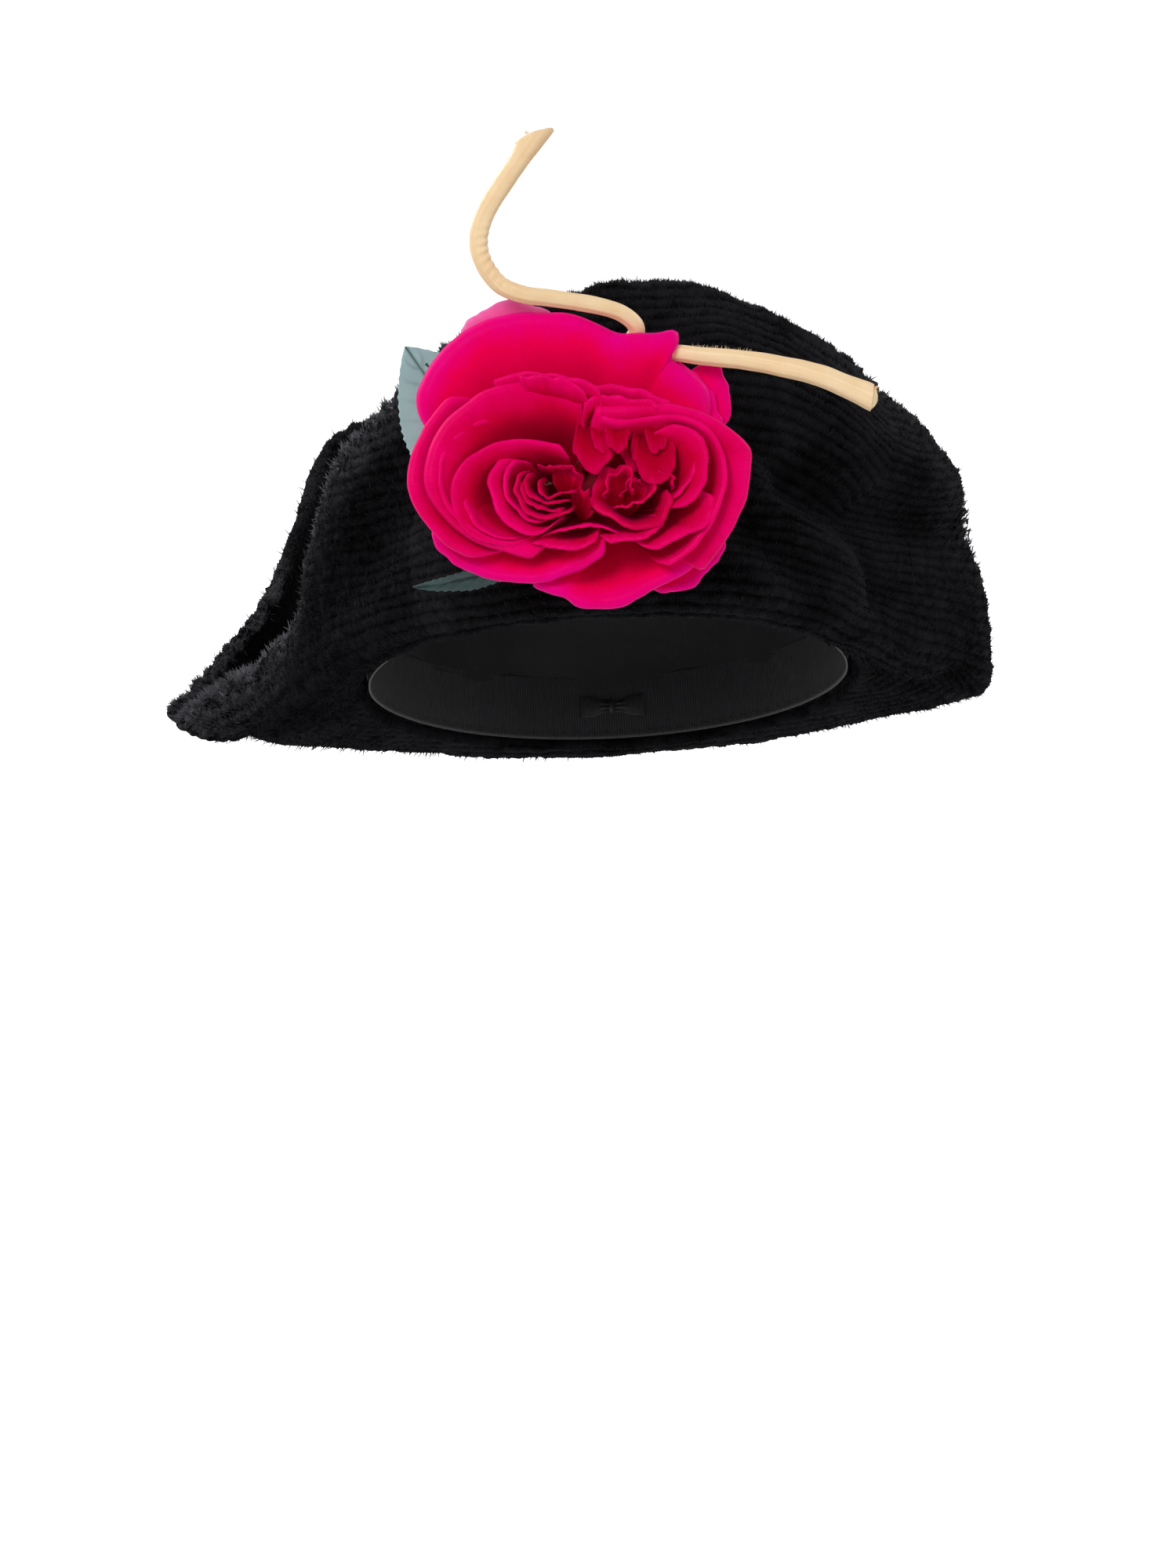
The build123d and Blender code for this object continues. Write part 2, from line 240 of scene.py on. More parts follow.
# %% The plush finish
def plush_finish(name, root_shade_colour, tip_colour, fringe_highlight_colour):
    """Painted shade between the hairs and in the rib valleys, grey on their tips, and a painted highlight
    where the pile is loose.
    """
    finish = Finish(name)
    lay = finish.attribute("lay", "Vector")
    fibres = finish.cloudy(1, 4, 0.7, finish.stretched((2.4, 0.6, 1.0), lay))
    clumps = finish.cloudy(0.005, 3, 0.6)
    patches = finish.cloudy(0.022, 2, 0.5)
    # Painted shade: a low pile value in rib valleys and between tufts gives the dark root colour; the noises
    # add random tone.
    tone_and_valley_shade = finish.attribute("pile") * 1.1 + fibres * 1.3 + clumps * 0.9 + patches * 1.2 - 2.1
    pile_colour = finish.blend(tone_and_valley_shade.clamp(), root_shade_colour, tip_colour)
    # Painted highlight: loose pile at the free edges is turned pale grey, most of all near the left point.
    tufted = (finish.attribute("pile") * 0.9 + fibres * 2.4 + clumps * 1.2 - 2.0).clamp()
    fringe = finish.attribute("fringe") * tufted
    colour = finish.blend(fringe, pile_colour, fringe_highlight_colour)
    return finish.surface(
        Base_Color=colour, Roughness=0.95, IOR=1.2, Specular_IOR_Level=0.2, Sheen_Weight=0.035,
        Sheen_Roughness=0.26, Sheen_Tint=(0.86, 0.84, 1.0, 1), Normal=finish.bump(fibres, 0.0007, 0.9),
    )


# The root colour is painted shade between the hairs; the pale grey is a painted highlight for loose edge
# pile.
pile_valley_shade = (0.0006, 0.0006, 0.0008)
pile_tip = (0.017, 0.0163, 0.019)
fringe_highlight_grey = (0.17, 0.165, 0.185)
black_plush = plush_finish("black_plush", pile_valley_shade, pile_tip, fringe_highlight_grey)

# %% [markdown]
# ## The lines of the brim
# The brim is two turned-up flaps that meet at a point over each ear. Each row of a table is one
# upright line of a flap: the angle round the opening, then how far out and how high its fold, its
# middle and its free edge lie. The line itself is a curve that drops from the crown, turns tightly
# at the fold and climbs to the free edge.

# %% Tables of the two flaps
Station = namedtuple(
    "Station", "angle fold_reach fold_height middle_reach middle_height edge_reach edge_height"
)
right_point = (361, 38, -13, 41, -9, 38, 5)
front_flap = [
    (177, 44, -12, 48, -10.5, 61, -3),
    (184, 26, -12, 29, -4, 33, 9), (194, 16, -8, 17, 6, 16, 22), (204, 12, -5, 12, 20, 15, 39),
    (216, 9, -3, 11, 29, 15, 59), (230, 8, -1, 11, 36, 13, 70), (246, 10, -1, 15, 44, 12, 85),
    (269, 14, -3, 19, 50, 9, 97), (284, 15, -3, 19, 52, 9, 100), (300, 13, -5, 19, 48, 12, 94.5),
    (313, 11, -7, 20, 42, 20, 83), (324, 11, -8, 22, 35, 27.5, 69), (335, 16, -10, 26, 27, 34, 56),
    (345, 24, -11, 31, 14, 37.8, 37), (353, 32, -12, 36, 3, 39.5, 17),
    right_point,
]
back_flap = [
    (1,) + right_point[1:],
    (8, 40, -13, 38, 2, 35.5, 19), (16, 37, -14, 34, 14, 29, 44), (27, 33, -13, 30, 32, 17, 78),
    (40, 28, -11.5, 27, 44, 9, 97), (56, 22, -9, 24, 49, 8, 103), (75, 17, -6, 21, 52, 12, 104),
    (92, 16, -6, 20, 52, 14, 104), (110, 18, -7, 21, 52, 12, 105), (126, 24, -9, 25, 52, 8, 108),
    (142, 34, -13.5, 29, 53, 8, 112), (152, 41, -15.5, 33, 44, 20, 101), (160, 46, -16, 36, 31, 24, 72),
    (168, 47, -14, 40, 17, 30, 41), (173, 44, -12, 44, 5, 44, 21), (177, 44, -12, 47, -9.5, 62.5, 0),
]
fold_sharpness = 2.2
rib_gathers = [
    (-10, 1.0), (177, 1.0), (179, 0.8), (187, 0.8), (200, 0.88), (223, 1.0), (292, 1.0), (304, 1.04),
    (315, 1.17), (322, 1.32), (328, 1.31), (333, 1.24), (340, 1.1), (346, 1.0), (361, 0.92),
]


class BrimLine:
    """One upright line of a flap, measured from the crown round the fold to the free edge."""

    def __init__(self, flap, place):
        self.row = Station(*along_rows(flap, place))
        self.angle = self.row.angle
        turn = radians(self.angle)
        width, length = head_half_width + root_gap, head_half_length + root_gap
        self.foot = hat_right * (width * cos(turn)) + hat_back * (length * sin(turn))
        self.out = (hat_right * (length * cos(turn)) + hat_back * (width * sin(turn))).normalized()
        steps = 48
        self.shares = [step / steps for step in range(steps + 1)]
        self.lengths = [0.0]
        last = self.plain(0.0)
        for share in self.shares[1:]:
            here = self.plain(share)
            self.lengths.append(self.lengths[-1] + hypot(here[0] - last[0], here[1] - last[1]))
            last = here
        self.length = self.lengths[-1]
        # Narrow down the lowest place of the fold, then turn it into a run along the line.
        low, high, tries = 0.0, 0.75, 30
        for _ in range(tries):
            first, second = (2 * low + high) / 3, (low + 2 * high) / 3
            if self.plain(first)[1] < self.plain(second)[1]:
                high = second
            else:
                low = first
        place = low * steps
        here = int(place)
        self.low = self.lengths[here] + (place - here) * (self.lengths[here + 1] - self.lengths[here])
        after = max(1, min(len(rib_gathers) - 1, bisect_left(rib_gathers, (self.angle,))))
        (first, loose), (second, tight) = rib_gathers[after - 1], rib_gathers[after]
        share = max(0.0, min(1.0, (self.angle - first) / (second - first)))
        self.rib_stretch = loose + (tight - loose) * share

    def rib_run(self, distance):
        """Run across the ribs, counted from the lowest line of the fold."""
        return (distance - self.low) * self.rib_stretch

    def plain(self, share):
        """Reach and height at a share of the curve's own run."""
        row, rest = self.row, 1 - share
        near, far = 3 * rest * rest * share * fold_sharpness, 3 * rest * share * share * fold_sharpness
        edge = share ** 3
        total = rest ** 3 + near + far + edge
        reach = near * row.fold_reach + far * row.middle_reach + edge * row.edge_reach
        height = near * row.fold_height + far * row.middle_height + edge * row.edge_height
        return reach / total, height / total

    def at(self, distance):
        """Point and outward direction at a distance from the crown, along the line."""
        inside = max(0.0, min(self.length, distance))
        after = max(1, min(len(self.lengths) - 1, bisect_left(self.lengths, inside)))
        low, high = self.lengths[after - 1], self.lengths[after]
        share = self.shares[after - 1] + (inside - low) / (high - low) / (len(self.shares) - 1)
        here = self.plain(share)
        near, far = self.plain(max(0.0, share - 0.004)), self.plain(min(1.0, share + 0.004))
        along = Vector((far[0] - near[0], far[1] - near[1])).normalized()
        reach, height = Vector(here) + along * (distance - inside)
        point = self.foot + self.out * reach + hat_up * height
        return point, self.out * along.y - hat_up * along.x


for flap_name, flap in (("front", front_flap), ("back", back_flap)):
    lengths = [round(BrimLine(flap, place).length) for place in range(len(flap))]
    print(flap_name, "flap is this deep at each line:", lengths)

# %% [markdown]
# ## Folds, ribs and a torn-looking edge
# The flaps aren't smooth: soft folds fan out from where the rose is sewn on. A fold is a short path
# over the flap, a height and a spread, and both faces of the cloth follow it. The ribs run along the
# flap, level with the lowest line of its fold, so they end one by one where the free edge slopes
# down to the points, and their ends make a row of tufts there.

# %% Folds and ribs
Fold = namedtuple("Fold", "height spread path")
degree_run = 1.6
side_hollows = [Fold(-6.5, 9, [(357, 3), (357, 30)]), Fold(-5.5, 8, [(177, 2), (177, 26)])]
front_folds = side_hollows + [
    Fold(6.0, 13, [(292, 84), (306, 71), (320, 62), (334, 60)]),
    Fold(-7.5, 8, [(306, 44), (320, 43), (331, 48), (342, 57)]),
    Fold(-6.0, 7, [(298, 56), (309, 45), (321, 36), (328, 24)]),
    Fold(3.5, 8, [(297, 46), (309, 32), (321, 24)]),
    Fold(-5.5, 6, [(293, 36), (301, 26), (310, 17)]),
    Fold(3.0, 6, [(294, 18), (308, 13), (328, 12), (350, 20)]),
    Fold(3.5, 11, [(206, 34), (218, 44), (232, 60)]),
    Fold(-4.5, 9, [(222, 30), (238, 46), (250, 62)]),
    Fold(2.5, 8, [(186, 20), (204, 14), (222, 12)]),
]
back_folds = [Fold(-6.5, 9, [(-3, 3), (-3, 30)]), side_hollows[1]] + [
    Fold(4.0, 14, [(20, 60), (44, 70), (66, 66)]), Fold(-4.0, 11, [(30, 40), (52, 48), (80, 52)]),
    Fold(4.5, 15, [(98, 80), (112, 66), (122, 44)]), Fold(-4.0, 12, [(118, 84), (132, 70), (144, 46)]),
    Fold(3.0, 10, [(140, 92), (154, 66), (164, 40)]), Fold(3.0, 9, [(60, 20), (90, 14), (120, 18)]),
]
rib_pitch = 3.4
rib_depth = 1.5


def fold_height(folds, angle, distance):
    """How far the folds push the flap outwards at an angle and a distance from the crown."""
    total = 0.0
    spot = Vector((angle * degree_run, distance))
    for height, spread, path in folds:
        nearest = 1e9
        for start, end in zip(path, path[1:]):
            first = Vector((start[0] * degree_run, start[1]))
            run = Vector((end[0] * degree_run, end[1])) - first
            share = max(0.0, min(1.0, (spot - first).dot(run) / run.length_squared))
            nearest = min(nearest, (spot - first - run * share).length)
        total += height * exp(-(nearest / spread) ** 2)
    return total


def rib_shape(run):
    """Rounded rib tops with narrow valleys: 0 in a valley, 1 on a top."""
    return abs(cos(pi * run / rib_pitch)) ** 0.55


# %% [markdown]
# ## Laying the plush
# A flap is one closed slab: the grid starts at the crown, runs out over the outer face, turns round
# the free edge and comes back over the inner face, and its two open ends are filled. Each flap is
# made in a few lengths, because a mesh of more than about two hundred thousand triangles is thinned
# when it is passed on. The lengths share their end lines, so no gap shows.

# %% Helpers that lay a grid and raise its pile
def even_places(measure, first, last, count):
    """Places between first and last that are evenly far apart by a measure of distance."""
    last_sample = 160
    samples = [first + (last - first) * step / last_sample for step in range(last_sample + 1)]
    points = [measure(place) for place in samples]
    runs = [0.0]
    for here, there in zip(points, points[1:]):
        runs.append(runs[-1] + (there - here).length)
    places = []
    for step in range(count + 1):
        target = runs[-1] * step / count
        after = max(1, min(last_sample, bisect_left(runs, target)))
        share = (target - runs[after - 1]) / (runs[after] - runs[after - 1])
        places.append(samples[after - 1] + (samples[after] - samples[after - 1]) * share)
    return places


def grid_piece(columns, rows):
    """A flat grid whose vertices come back as a table, ready to be moved to their places."""
    shape = bmesh.new()
    shape.verts.layers.float.new("pile")
    shape.verts.layers.float.new("fringe")
    shape.verts.layers.float_vector.new("lay")
    bmesh.ops.create_grid(shape, x_segments=columns, y_segments=rows, size=1)
    table = {}
    for vert in shape.verts:
        column = round((vert.co.x + 1) / 2 * columns)
        row = round((vert.co.y + 1) / 2 * rows)
        table[column, row] = vert
    return shape, table


def close_ends(shape):
    """Merge what meets, fill the open ends and hand back the fillings."""
    bmesh.ops.remove_doubles(shape, verts=shape.verts, dist=0.004)
    open_edges = [edge for edge in shape.edges if edge.is_boundary]
    filled = bmesh.ops.holes_fill(shape, edges=open_edges, sides=0)["faces"]
    if filled:
        filled = bmesh.ops.triangulate(shape, faces=filled, ngon_method="EAR_CLIP")["faces"]
    for face in shape.faces:
        face.smooth = True
    for face in filled:
        face.smooth = False
    bmesh.ops.recalc_face_normals(shape, faces=shape.faces)
    return set(filled)


def raise_pile(shape, height, lean_towards, seed, ends=()):
    """Poke every face and lift the new points into tufts that lean with the nap."""
    pile = shape.verts.layers.float["pile"]
    fringe = shape.verts.layers.float["fringe"]
    lay = shape.verts.layers.float_vector["lay"]
    chance = random.Random(seed)
    shape.normal_update()
    covered = [face for face in shape.faces if face not in ends]
    poked = bmesh.ops.poke(shape, faces=covered, offset=0, center_mode="MEAN")
    shape.normal_update()
    for vert in poked["verts"]:
        around = [edge.other_vert(vert) for edge in vert.link_edges]
        vert[lay] = sum((other[lay] for other in around), Vector()) / len(around)
        vert[fringe] = sum(other[fringe] for other in around) / len(around)
        clump = noise.noise(vert.co / 2.6) + 0.6 * noise.noise(vert.co / 1.1)
        wild = 0.35 + 0.4 * vert[fringe]
        lift = height * (1 + 0.9 * clump + chance.uniform(-wild, wild)) * (1 + 1.6 * vert[fringe])
        lean = lean_towards * (height * (0.5 + chance.uniform(-0.4, 0.4)))
        vert.co += vert.normal * max(0.1, lift) + lean
        # Tips get a higher pile value than the ground between them, so the roots take the painted shade
        # colour.
        vert[pile] = sum(other[pile] for other in around) / len(around) + 0.35


middle_of_flap = 60
edge_trim = 2.7
tuft_length = 4.4
hairs_per_length = 2200
edge_spots = []
face_spots = []


def brim_length(name, flap, folds, first, last, nodes, seed, outer_rows, inner_rows, fuzz):
    """A length of a flap of the brim, as a closed slab with pile on both faces and on its edge."""
    columns, edge_rows = 200, 14
    rows = outer_rows + edge_rows + inner_rows
    shape, table = grid_piece(columns, rows)
    pile = shape.verts.layers.float["pile"]
    fringe = shape.verts.layers.float["fringe"]
    lay = shape.verts.layers.float_vector["lay"]
    places = even_places(lambda place: BrimLine(flap, place).at(middle_of_flap)[0], first, last, columns)
    ground = plush_reach - rib_depth
    lines = [BrimLine(flap, place) for place in places]
    tips = [line.at(line.length - edge_trim)[0] for line in lines]
    for column, line in enumerate(lines):
        ragged = 1 - smoothly((line.length - 88) / 12)
        tip, tip_out = line.at(line.length - edge_trim)
        edge_run = tips[min(columns, column + 1)] - tips[max(0, column - 1)]
        edge_out = tip_out.cross(edge_run).normalized()
        rough = noise.noise(tip / 1.7) + 0.7 * noise.noise(tip / 0.8)
        tuft = rib_shape(line.rib_run(line.length - edge_trim) + 0.5 * noise.noise(tip / 6)) - 0.6
        tuft = tuft * tuft_length * (0.35 + 0.65 * ragged) + rough * (0.5 + 1.2 * ragged)
        turn_start = line.length - edge_trim - plush_reach
        ribbed = 0.5 + 0.5 * smoothly((abs(line.angle - 180) - 20) / 50)
        # Strength of the painted highlight on the outer face near the left point, where the light falls.
        tip_highlight_peak = 0.9 - 0.5 * smoothly(abs(line.angle - 180) / 28)
        edge_shift = fold_height(folds, line.angle, line.length)
        edge_spot = tip + tip_out * edge_shift + edge_out * tuft
        edge_spots.append((name, edge_spot, edge_out, tip_out, ragged * fuzz))
        for row in range(rows + 1):
            if row <= outer_rows:
                distance, side = turn_start * row / outer_rows, 1.0
            elif row < outer_rows + edge_rows:
                turn = pi * (row - outer_rows) / edge_rows
                distance, side = turn_start + plush_reach * sin(turn), cos(turn)
            else:
                distance, side = turn_start * (rows - row) / inner_rows, -1.0
            point, outward = line.at(distance)
            wobble = 0.9 * noise.noise(point / 14) + 0.3 * noise.noise(point / 4.5)
            rib = rib_shape(line.rib_run(distance) + wobble)
            depth = rib_depth * (0.75 + 0.6 * noise.noise(point / 10 + Vector((9, 0, 0))))
            depth *= ribbed
            clump = 0.55 * noise.noise(point / 7) + (0.35 + 0.6 * (1 - ribbed)) * noise.noise(point / 2.2)
            edge = smoothly((distance - turn_start) / plush_reach)
            thick = ground + rib_depth - depth + depth * (rib + (0.8 - rib) * edge) + clump * 0.8
            if row in (0, rows):
                side = 0.0
            shift = fold_height(folds, line.angle, distance) * smoothly(distance / 9)
            vert = table[column, row]
            reach_out = tuft * smoothly((distance - turn_start + 3) / 4)
            vert.co = point + outward * (shift + side * thick) + edge_out * reach_out
            brushed = 0.6 + 0.8 * noise.noise(point / 3 + Vector((0, 5, 0)))
            # Painted shade: rib valleys get a low pile value and so a darker colour; the brushed noise is
            # random tone.
            vert[pile] = 0.1 + 0.6 * (rib * ribbed + brushed * (1 - ribbed))
            # Painted highlight: the outer face near the left point and the loose edge pile get a fringe value
            # that turns them paler; the same value also lengthens the tufts.
            tip_highlight = tip_highlight_peak * smoothly((distance - turn_start + 16) / 16) if side > 0 else 0.0
            edge_pile = smoothly((distance - turn_start + 0.6) / 2.4)
            vert[fringe] = max(edge_pile, tip_highlight) * (0.2 + 0.8 * ragged) * fuzz
            vert[lay] = Vector((column * 0.65, distance, side * 3))
    chance = random.Random(seed + 50)
    for _ in range(hairs_per_length):
        column, row = chance.randrange(1, columns - 1), chance.randrange(8, outer_rows + edge_rows)
        corners = ((column, row), (column + 1, row), (column, row + 1))
        here, beside, above = (table[spot].co for spot in corners)
        face = (beside - here).cross(above - here).normalized()
        face_spots.append((name, here.copy(), face, (above - here).normalized(), table[column, row][fringe]))
    ends = close_ends(shape)
    raise_pile(shape, 0.5, hat_up * 0.6, seed, ends)
    return finish_piece(shape, name, nodes, black_plush, smooth=False, weld=0)


# %% Lay the two flaps
front_nodes = ("front_brim_face", "front_brim_lining")
back_nodes = ("back_brim_face", "back_brim_lining")
# The last number of each length scales its loose edge hairs and tufts and also its painted edge highlight,
# which is stronger on the lit left side.
front_lengths = (("left", 0, 5.2, 3, 1.0), ("middle", 5.2, 9.3, 5, 0.6), ("right", 9.3, 15, 7, 0.35))
back_lengths = (("right", 0, 7, 9, 0.4), ("left", 7, 15, 11, 0.5))
for name, first, last, seed, fuzz in front_lengths:
    name = "front_flap_" + name
    brim_length(name, front_flap, front_folds, first, last, front_nodes, seed, 146, 76, fuzz)
for name, first, last, seed, fuzz in back_lengths:
    name = "back_flap_" + name
    brim_length(name, back_flap, back_folds, first, last, back_nodes, seed, 124, 100, fuzz)

# %% [markdown]
# ## Loose hairs
# The free edges are cut, not hemmed, so single hairs of the pile stand out past them, and a few
# longer ones stand up all over the flaps. Each is a three-sided spike of five faces, set on the
# places that the lengths above have left behind. They are made in batches, because an operator gets
# slower the more there is in a mesh.

# %% Hairs on the edges and on the faces
Hair = namedtuple("Hair", "foot lean length loose")


def hair_piece(name, hairs):
    """Thin spikes of pile."""
    shape = bmesh.new()
    batch_size = 200
    for start in range(0, len(hairs), batch_size):
        batch = bmesh.new()
        pile = batch.verts.layers.float.new("pile")
        fringe = batch.verts.layers.float.new("fringe")
        for hair in hairs[start:start + batch_size]:
            turned = hair.lean.to_track_quat("Z", "Y").to_matrix().to_4x4()
            place = Matrix.Translation(hair.foot + hair.lean * (hair.length / 2)) @ turned
            spike = bmesh.ops.create_cone(
                batch, cap_ends=True, segments=3, radius1=0.24, radius2=0.03, depth=hair.length,
                matrix=place,
            )["verts"]
            # Hairs take the tip colour, plus the painted edge highlight that each one carries as its loose
            # value.
            for vert in spike:
                vert[pile] = 0.9
                vert[fringe] = hair.loose
        batch_mesh = bpy.data.meshes.new("batch")
        batch.to_mesh(batch_mesh)
        batch.free()
        shape.from_mesh(batch_mesh)
        bpy.data.meshes.remove(batch_mesh)
    return finish_piece(shape, name, (), black_plush, weld=0)


def edge_hairs(flap_name, per_spot, seed):
    """Hairs along the free edge, longer where the edge is ragged."""
    spots = [spot for spot in edge_spots if spot[0].startswith(flap_name)]
    chance = random.Random(seed)
    hairs = []
    for (first_name, here, out, face, loose), (second_name, there, *_) in zip(spots, spots[1:]):
        if first_name != second_name:
            continue
        along = (there - here).normalized()
        for _ in range(per_spot):
            foot = here.lerp(there, chance.random()) + face * chance.uniform(-1.6, 1.6)
            lean = out + along * chance.uniform(-0.7, 0.7) + face * chance.uniform(-0.5, 0.5)
            length = chance.uniform(1.2, 2.6) * (0.8 + 0.7 * loose)
            # The last value is the hair's painted highlight, stronger where the edge is loose.
            hairs.append(Hair(foot - out * 0.3, lean.normalized(), length, 0.15 + 0.75 * loose))
    return hair_piece(flap_name + "_edge_hairs", hairs)


def face_hairs(seed):
    """Short hairs that stand up and lean with the nap on the outer faces."""
    chance = random.Random(seed)
    hairs = []
    for name, foot, face, nap, loose in face_spots:
        lean = face * chance.uniform(0.5, 1.0) + nap * chance.uniform(0.2, 1.0)
        length = chance.uniform(1.2, 2.4) * (1.6 if name == "back_flap_left" else 1.0)
        # Face hairs carry half the painted edge highlight of the spot they stand on.
        hairs.append(Hair(foot + face * 0.1, lean.normalized(), length, loose * 0.5))
    return hair_piece("face_hairs", hairs)


edge_hairs("front", 9, 31)
edge_hairs("back", 9, 33)
face_hairs(35)

# %% [markdown]
# ## Buckram inside the flaps
# Between the two plush faces lies a stiff open cotton, buckram, that lets the flaps stand. It stops
# short of the free edge so that it never shows. It follows the same folds as the plush, so it is
# laid again on the same lines instead of keeping the smooth solid.

# %% Buckram finish and its two sheets
def buckram_finish():
    finish = Finish("buckram")
    weft = finish.node("ShaderNodeTexWave", {"bands_direction": "X"}, {"Scale": 420.0, "Distortion": 0.6})
    warp = finish.node("ShaderNodeTexWave", {"bands_direction": "Z"}, {"Scale": 420.0, "Distortion": 0.6})
    weave = (weft + warp) * 0.5
    colour = finish.blend(weave * 0.6 + finish.cloudy(0.02) * 0.4, (0.40, 0.36, 0.28), (0.70, 0.66, 0.55))
    return finish.surface(Base_Color=colour, Roughness=0.85, Normal=finish.bump(weave, 0.0002))


buckram = buckram_finish()
buckram_half = 0.3
buckram_share = 0.9


def buckram_sheet(name, flap, folds, node):
    """The stiff sheet inside a flap, closed on all sides."""
    columns, rows = 110, 26
    shape, table = grid_piece(columns, 2 * rows)
    places = even_places(lambda place: BrimLine(flap, place).at(middle_of_flap)[0], 0.06, 14.94, columns)
    for column, place in enumerate(places):
        line = BrimLine(flap, place)
        for row in range(2 * rows + 1):
            share = 1 - abs(row / rows - 1)
            on_edge = column in (0, columns) or row in (0, rows, 2 * rows)
            side = 0.0 if on_edge else (1 if row < rows else -1)
            distance = 1 + (line.length * buckram_share - 1) * share
            point, outward = line.at(distance)
            shift = fold_height(folds, line.angle, distance) * smoothly(distance / 9)
            table[column, row].co = point + outward * (shift + side * buckram_half)
    return finish_piece(shape, name, (node,), buckram)


buckram_sheet("front_flap_buckram", front_flap, front_folds, "front_brim_interlining")
buckram_sheet("back_flap_buckram", back_flap, back_folds, "back_brim_interlining")

# %% [markdown]
# ## The crown
# The crown is a soft round cap of the same plush: a side band, and a tip sewn on top of it. Both are
# laid on the ovals of the frame's crown, so a place on them is a turn round the head and a share of
# the way up. The seam between them is sunk a little, as a sewn seam in plush is.

# %% The dome and its two plush pieces
crown_height = 90.0
crown_seam_height = 52.0
dome_centre = hat_up * 20
crown_profile = [
    (0.0, 1.0), (0.3, 0.985), (0.55, 0.93), (0.75, 0.82), (0.88, 0.66), (0.96, 0.46), (1.0, 0.22),
    (1.006, 0.0),
]


def dome_point(turn, climb, offset):
    """A point of the dome: turn in degrees, climb in rows of the crown's outline."""
    height, width = along_rows(crown_profile, climb)
    spot = hat_right * ((head_half_width + offset) * max(0.0, width) * cos(radians(turn)))
    spot += hat_back * ((head_half_length + offset) * max(0.0, width) * sin(radians(turn)))
    return spot + hat_up * (height * (crown_height + offset))


def climb_at(height, offset):
    """The climb at which the dome reaches a height."""
    low, high = 0.0, len(crown_profile) - 1.0
    for _ in range(24):
        middle = (low + high) / 2
        reached = along_rows(crown_profile, middle)[0] * (crown_height + offset)
        low, high = (middle, high) if reached < height else (low, middle)
    return low


def crown_piece(name, node, low, high, columns, rows, closed_top, seed):
    """A plush piece of the crown between two climbs: pile outside, a plain back, rolled edges."""
    back_rows = rows // 9
    backing = 2.4
    shape, table = grid_piece(columns, rows + back_rows)
    pile = shape.verts.layers.float["pile"]
    lay = shape.verts.layers.float_vector["lay"]
    for (column, row), vert in table.items():
        turn = 360 * column / columns
        if row <= rows:
            climb = low + (high - low) * row / rows
            point = dome_point(turn, climb, cover_outside)
            outward = (point - dome_centre).normalized()
            across = point.dot(hat_back) if closed_top else point.dot(hat_up)
            wobble = 0.9 * noise.noise(point / 15)
            rib = rib_shape(across + wobble)
            sunk = 1 - smoothly((row if closed_top else rows - row) / 4)
            foot = 0.0 if closed_top else 1 - smoothly(row / 3)
            lift = (rib - 1) * rib_depth * (1 - foot) + 0.5 * noise.noise(point / 7)
            lift = lift - sunk * 1.2 + foot * 1.4
            vert.co = point + outward * lift
            # Painted shade: rib valleys get a low pile value and so a darker colour.
            vert[pile] = 0.15 + 0.6 * rib
            vert[lay] = Vector((column * 0.9, row * 0.9, 0))
        else:
            climb = high + (low - high) * (row - rows) / back_rows
            vert.co = dome_point(turn, climb, backing if row < rows + back_rows else cover_outside)
            if row == rows + back_rows:
                vert.co = table[column, 0].co
    bmesh.ops.remove_doubles(shape, verts=shape.verts, dist=0.004)
    bmesh.ops.recalc_face_normals(shape, faces=shape.faces)
    raise_pile(shape, 0.5, hat_up * 0.4, seed)
    return finish_piece(shape, name, (node,), black_plush, weld=0)


seam_climb = climb_at(crown_seam_height, cover_outside)
seam_overlap = 0.012
top_climb = len(crown_profile) - 1.0
crown_piece("crown_band", "crown_side", 0, seam_climb + seam_overlap, 360, 48, False, 21)
crown_piece("crown_top", "crown_tip", seam_climb - seam_overlap, top_climb, 400, 72, True, 23)

# %% [markdown]
# ## The silk rose
# The rose is a full, quartered garden rose of thin silk petals, cupped with a hot ball tool and
# glued round a base. Everything on it is measured from its own seat on the front flap: x runs to
# the right, y up the flap and z out towards the eye. Only the plane of the seat has to be worked
# out, from the brim line behind it.

# %% The rose's seat
seat_line = BrimLine(front_flap, 7)
seat_share = 0.36
seat_height = 7.1
seat_point, rose_out = seat_line.at(seat_share * seat_line.length)
rose_seat = seat_point + rose_out * plush_reach
rose_right = -seat_line.out.cross(hat_up).normalized()
rose_up = rose_out.cross(rose_right)


def on_rose(x, y, depth):
    """A point in millimetres beside, above and in front of the rose's seat."""
    return rose_seat + rose_right * x + rose_up * y + rose_out * depth


print("rose seat", [round(value, 1) for value in rose_seat], "faces", [round(value, 2) for value in rose_out])

# %% [markdown]
# ## Petal silk
# Petal silk is dyed from its edge inwards, so its colour changes from rim to root, and its fine
# warp threads fan out along the petal. The darker colour towards the root is also painted shade for
# the deep places in the cup, and the bowl and heart petals get darker, shaded copies of the silk.
# The attribute `petal` holds how far along and how far round a place is, which is what both of these
# need. A little sheen and a soft gloss make it silk, and a faint painted glow stands in for the light
# that comes through thin silk.

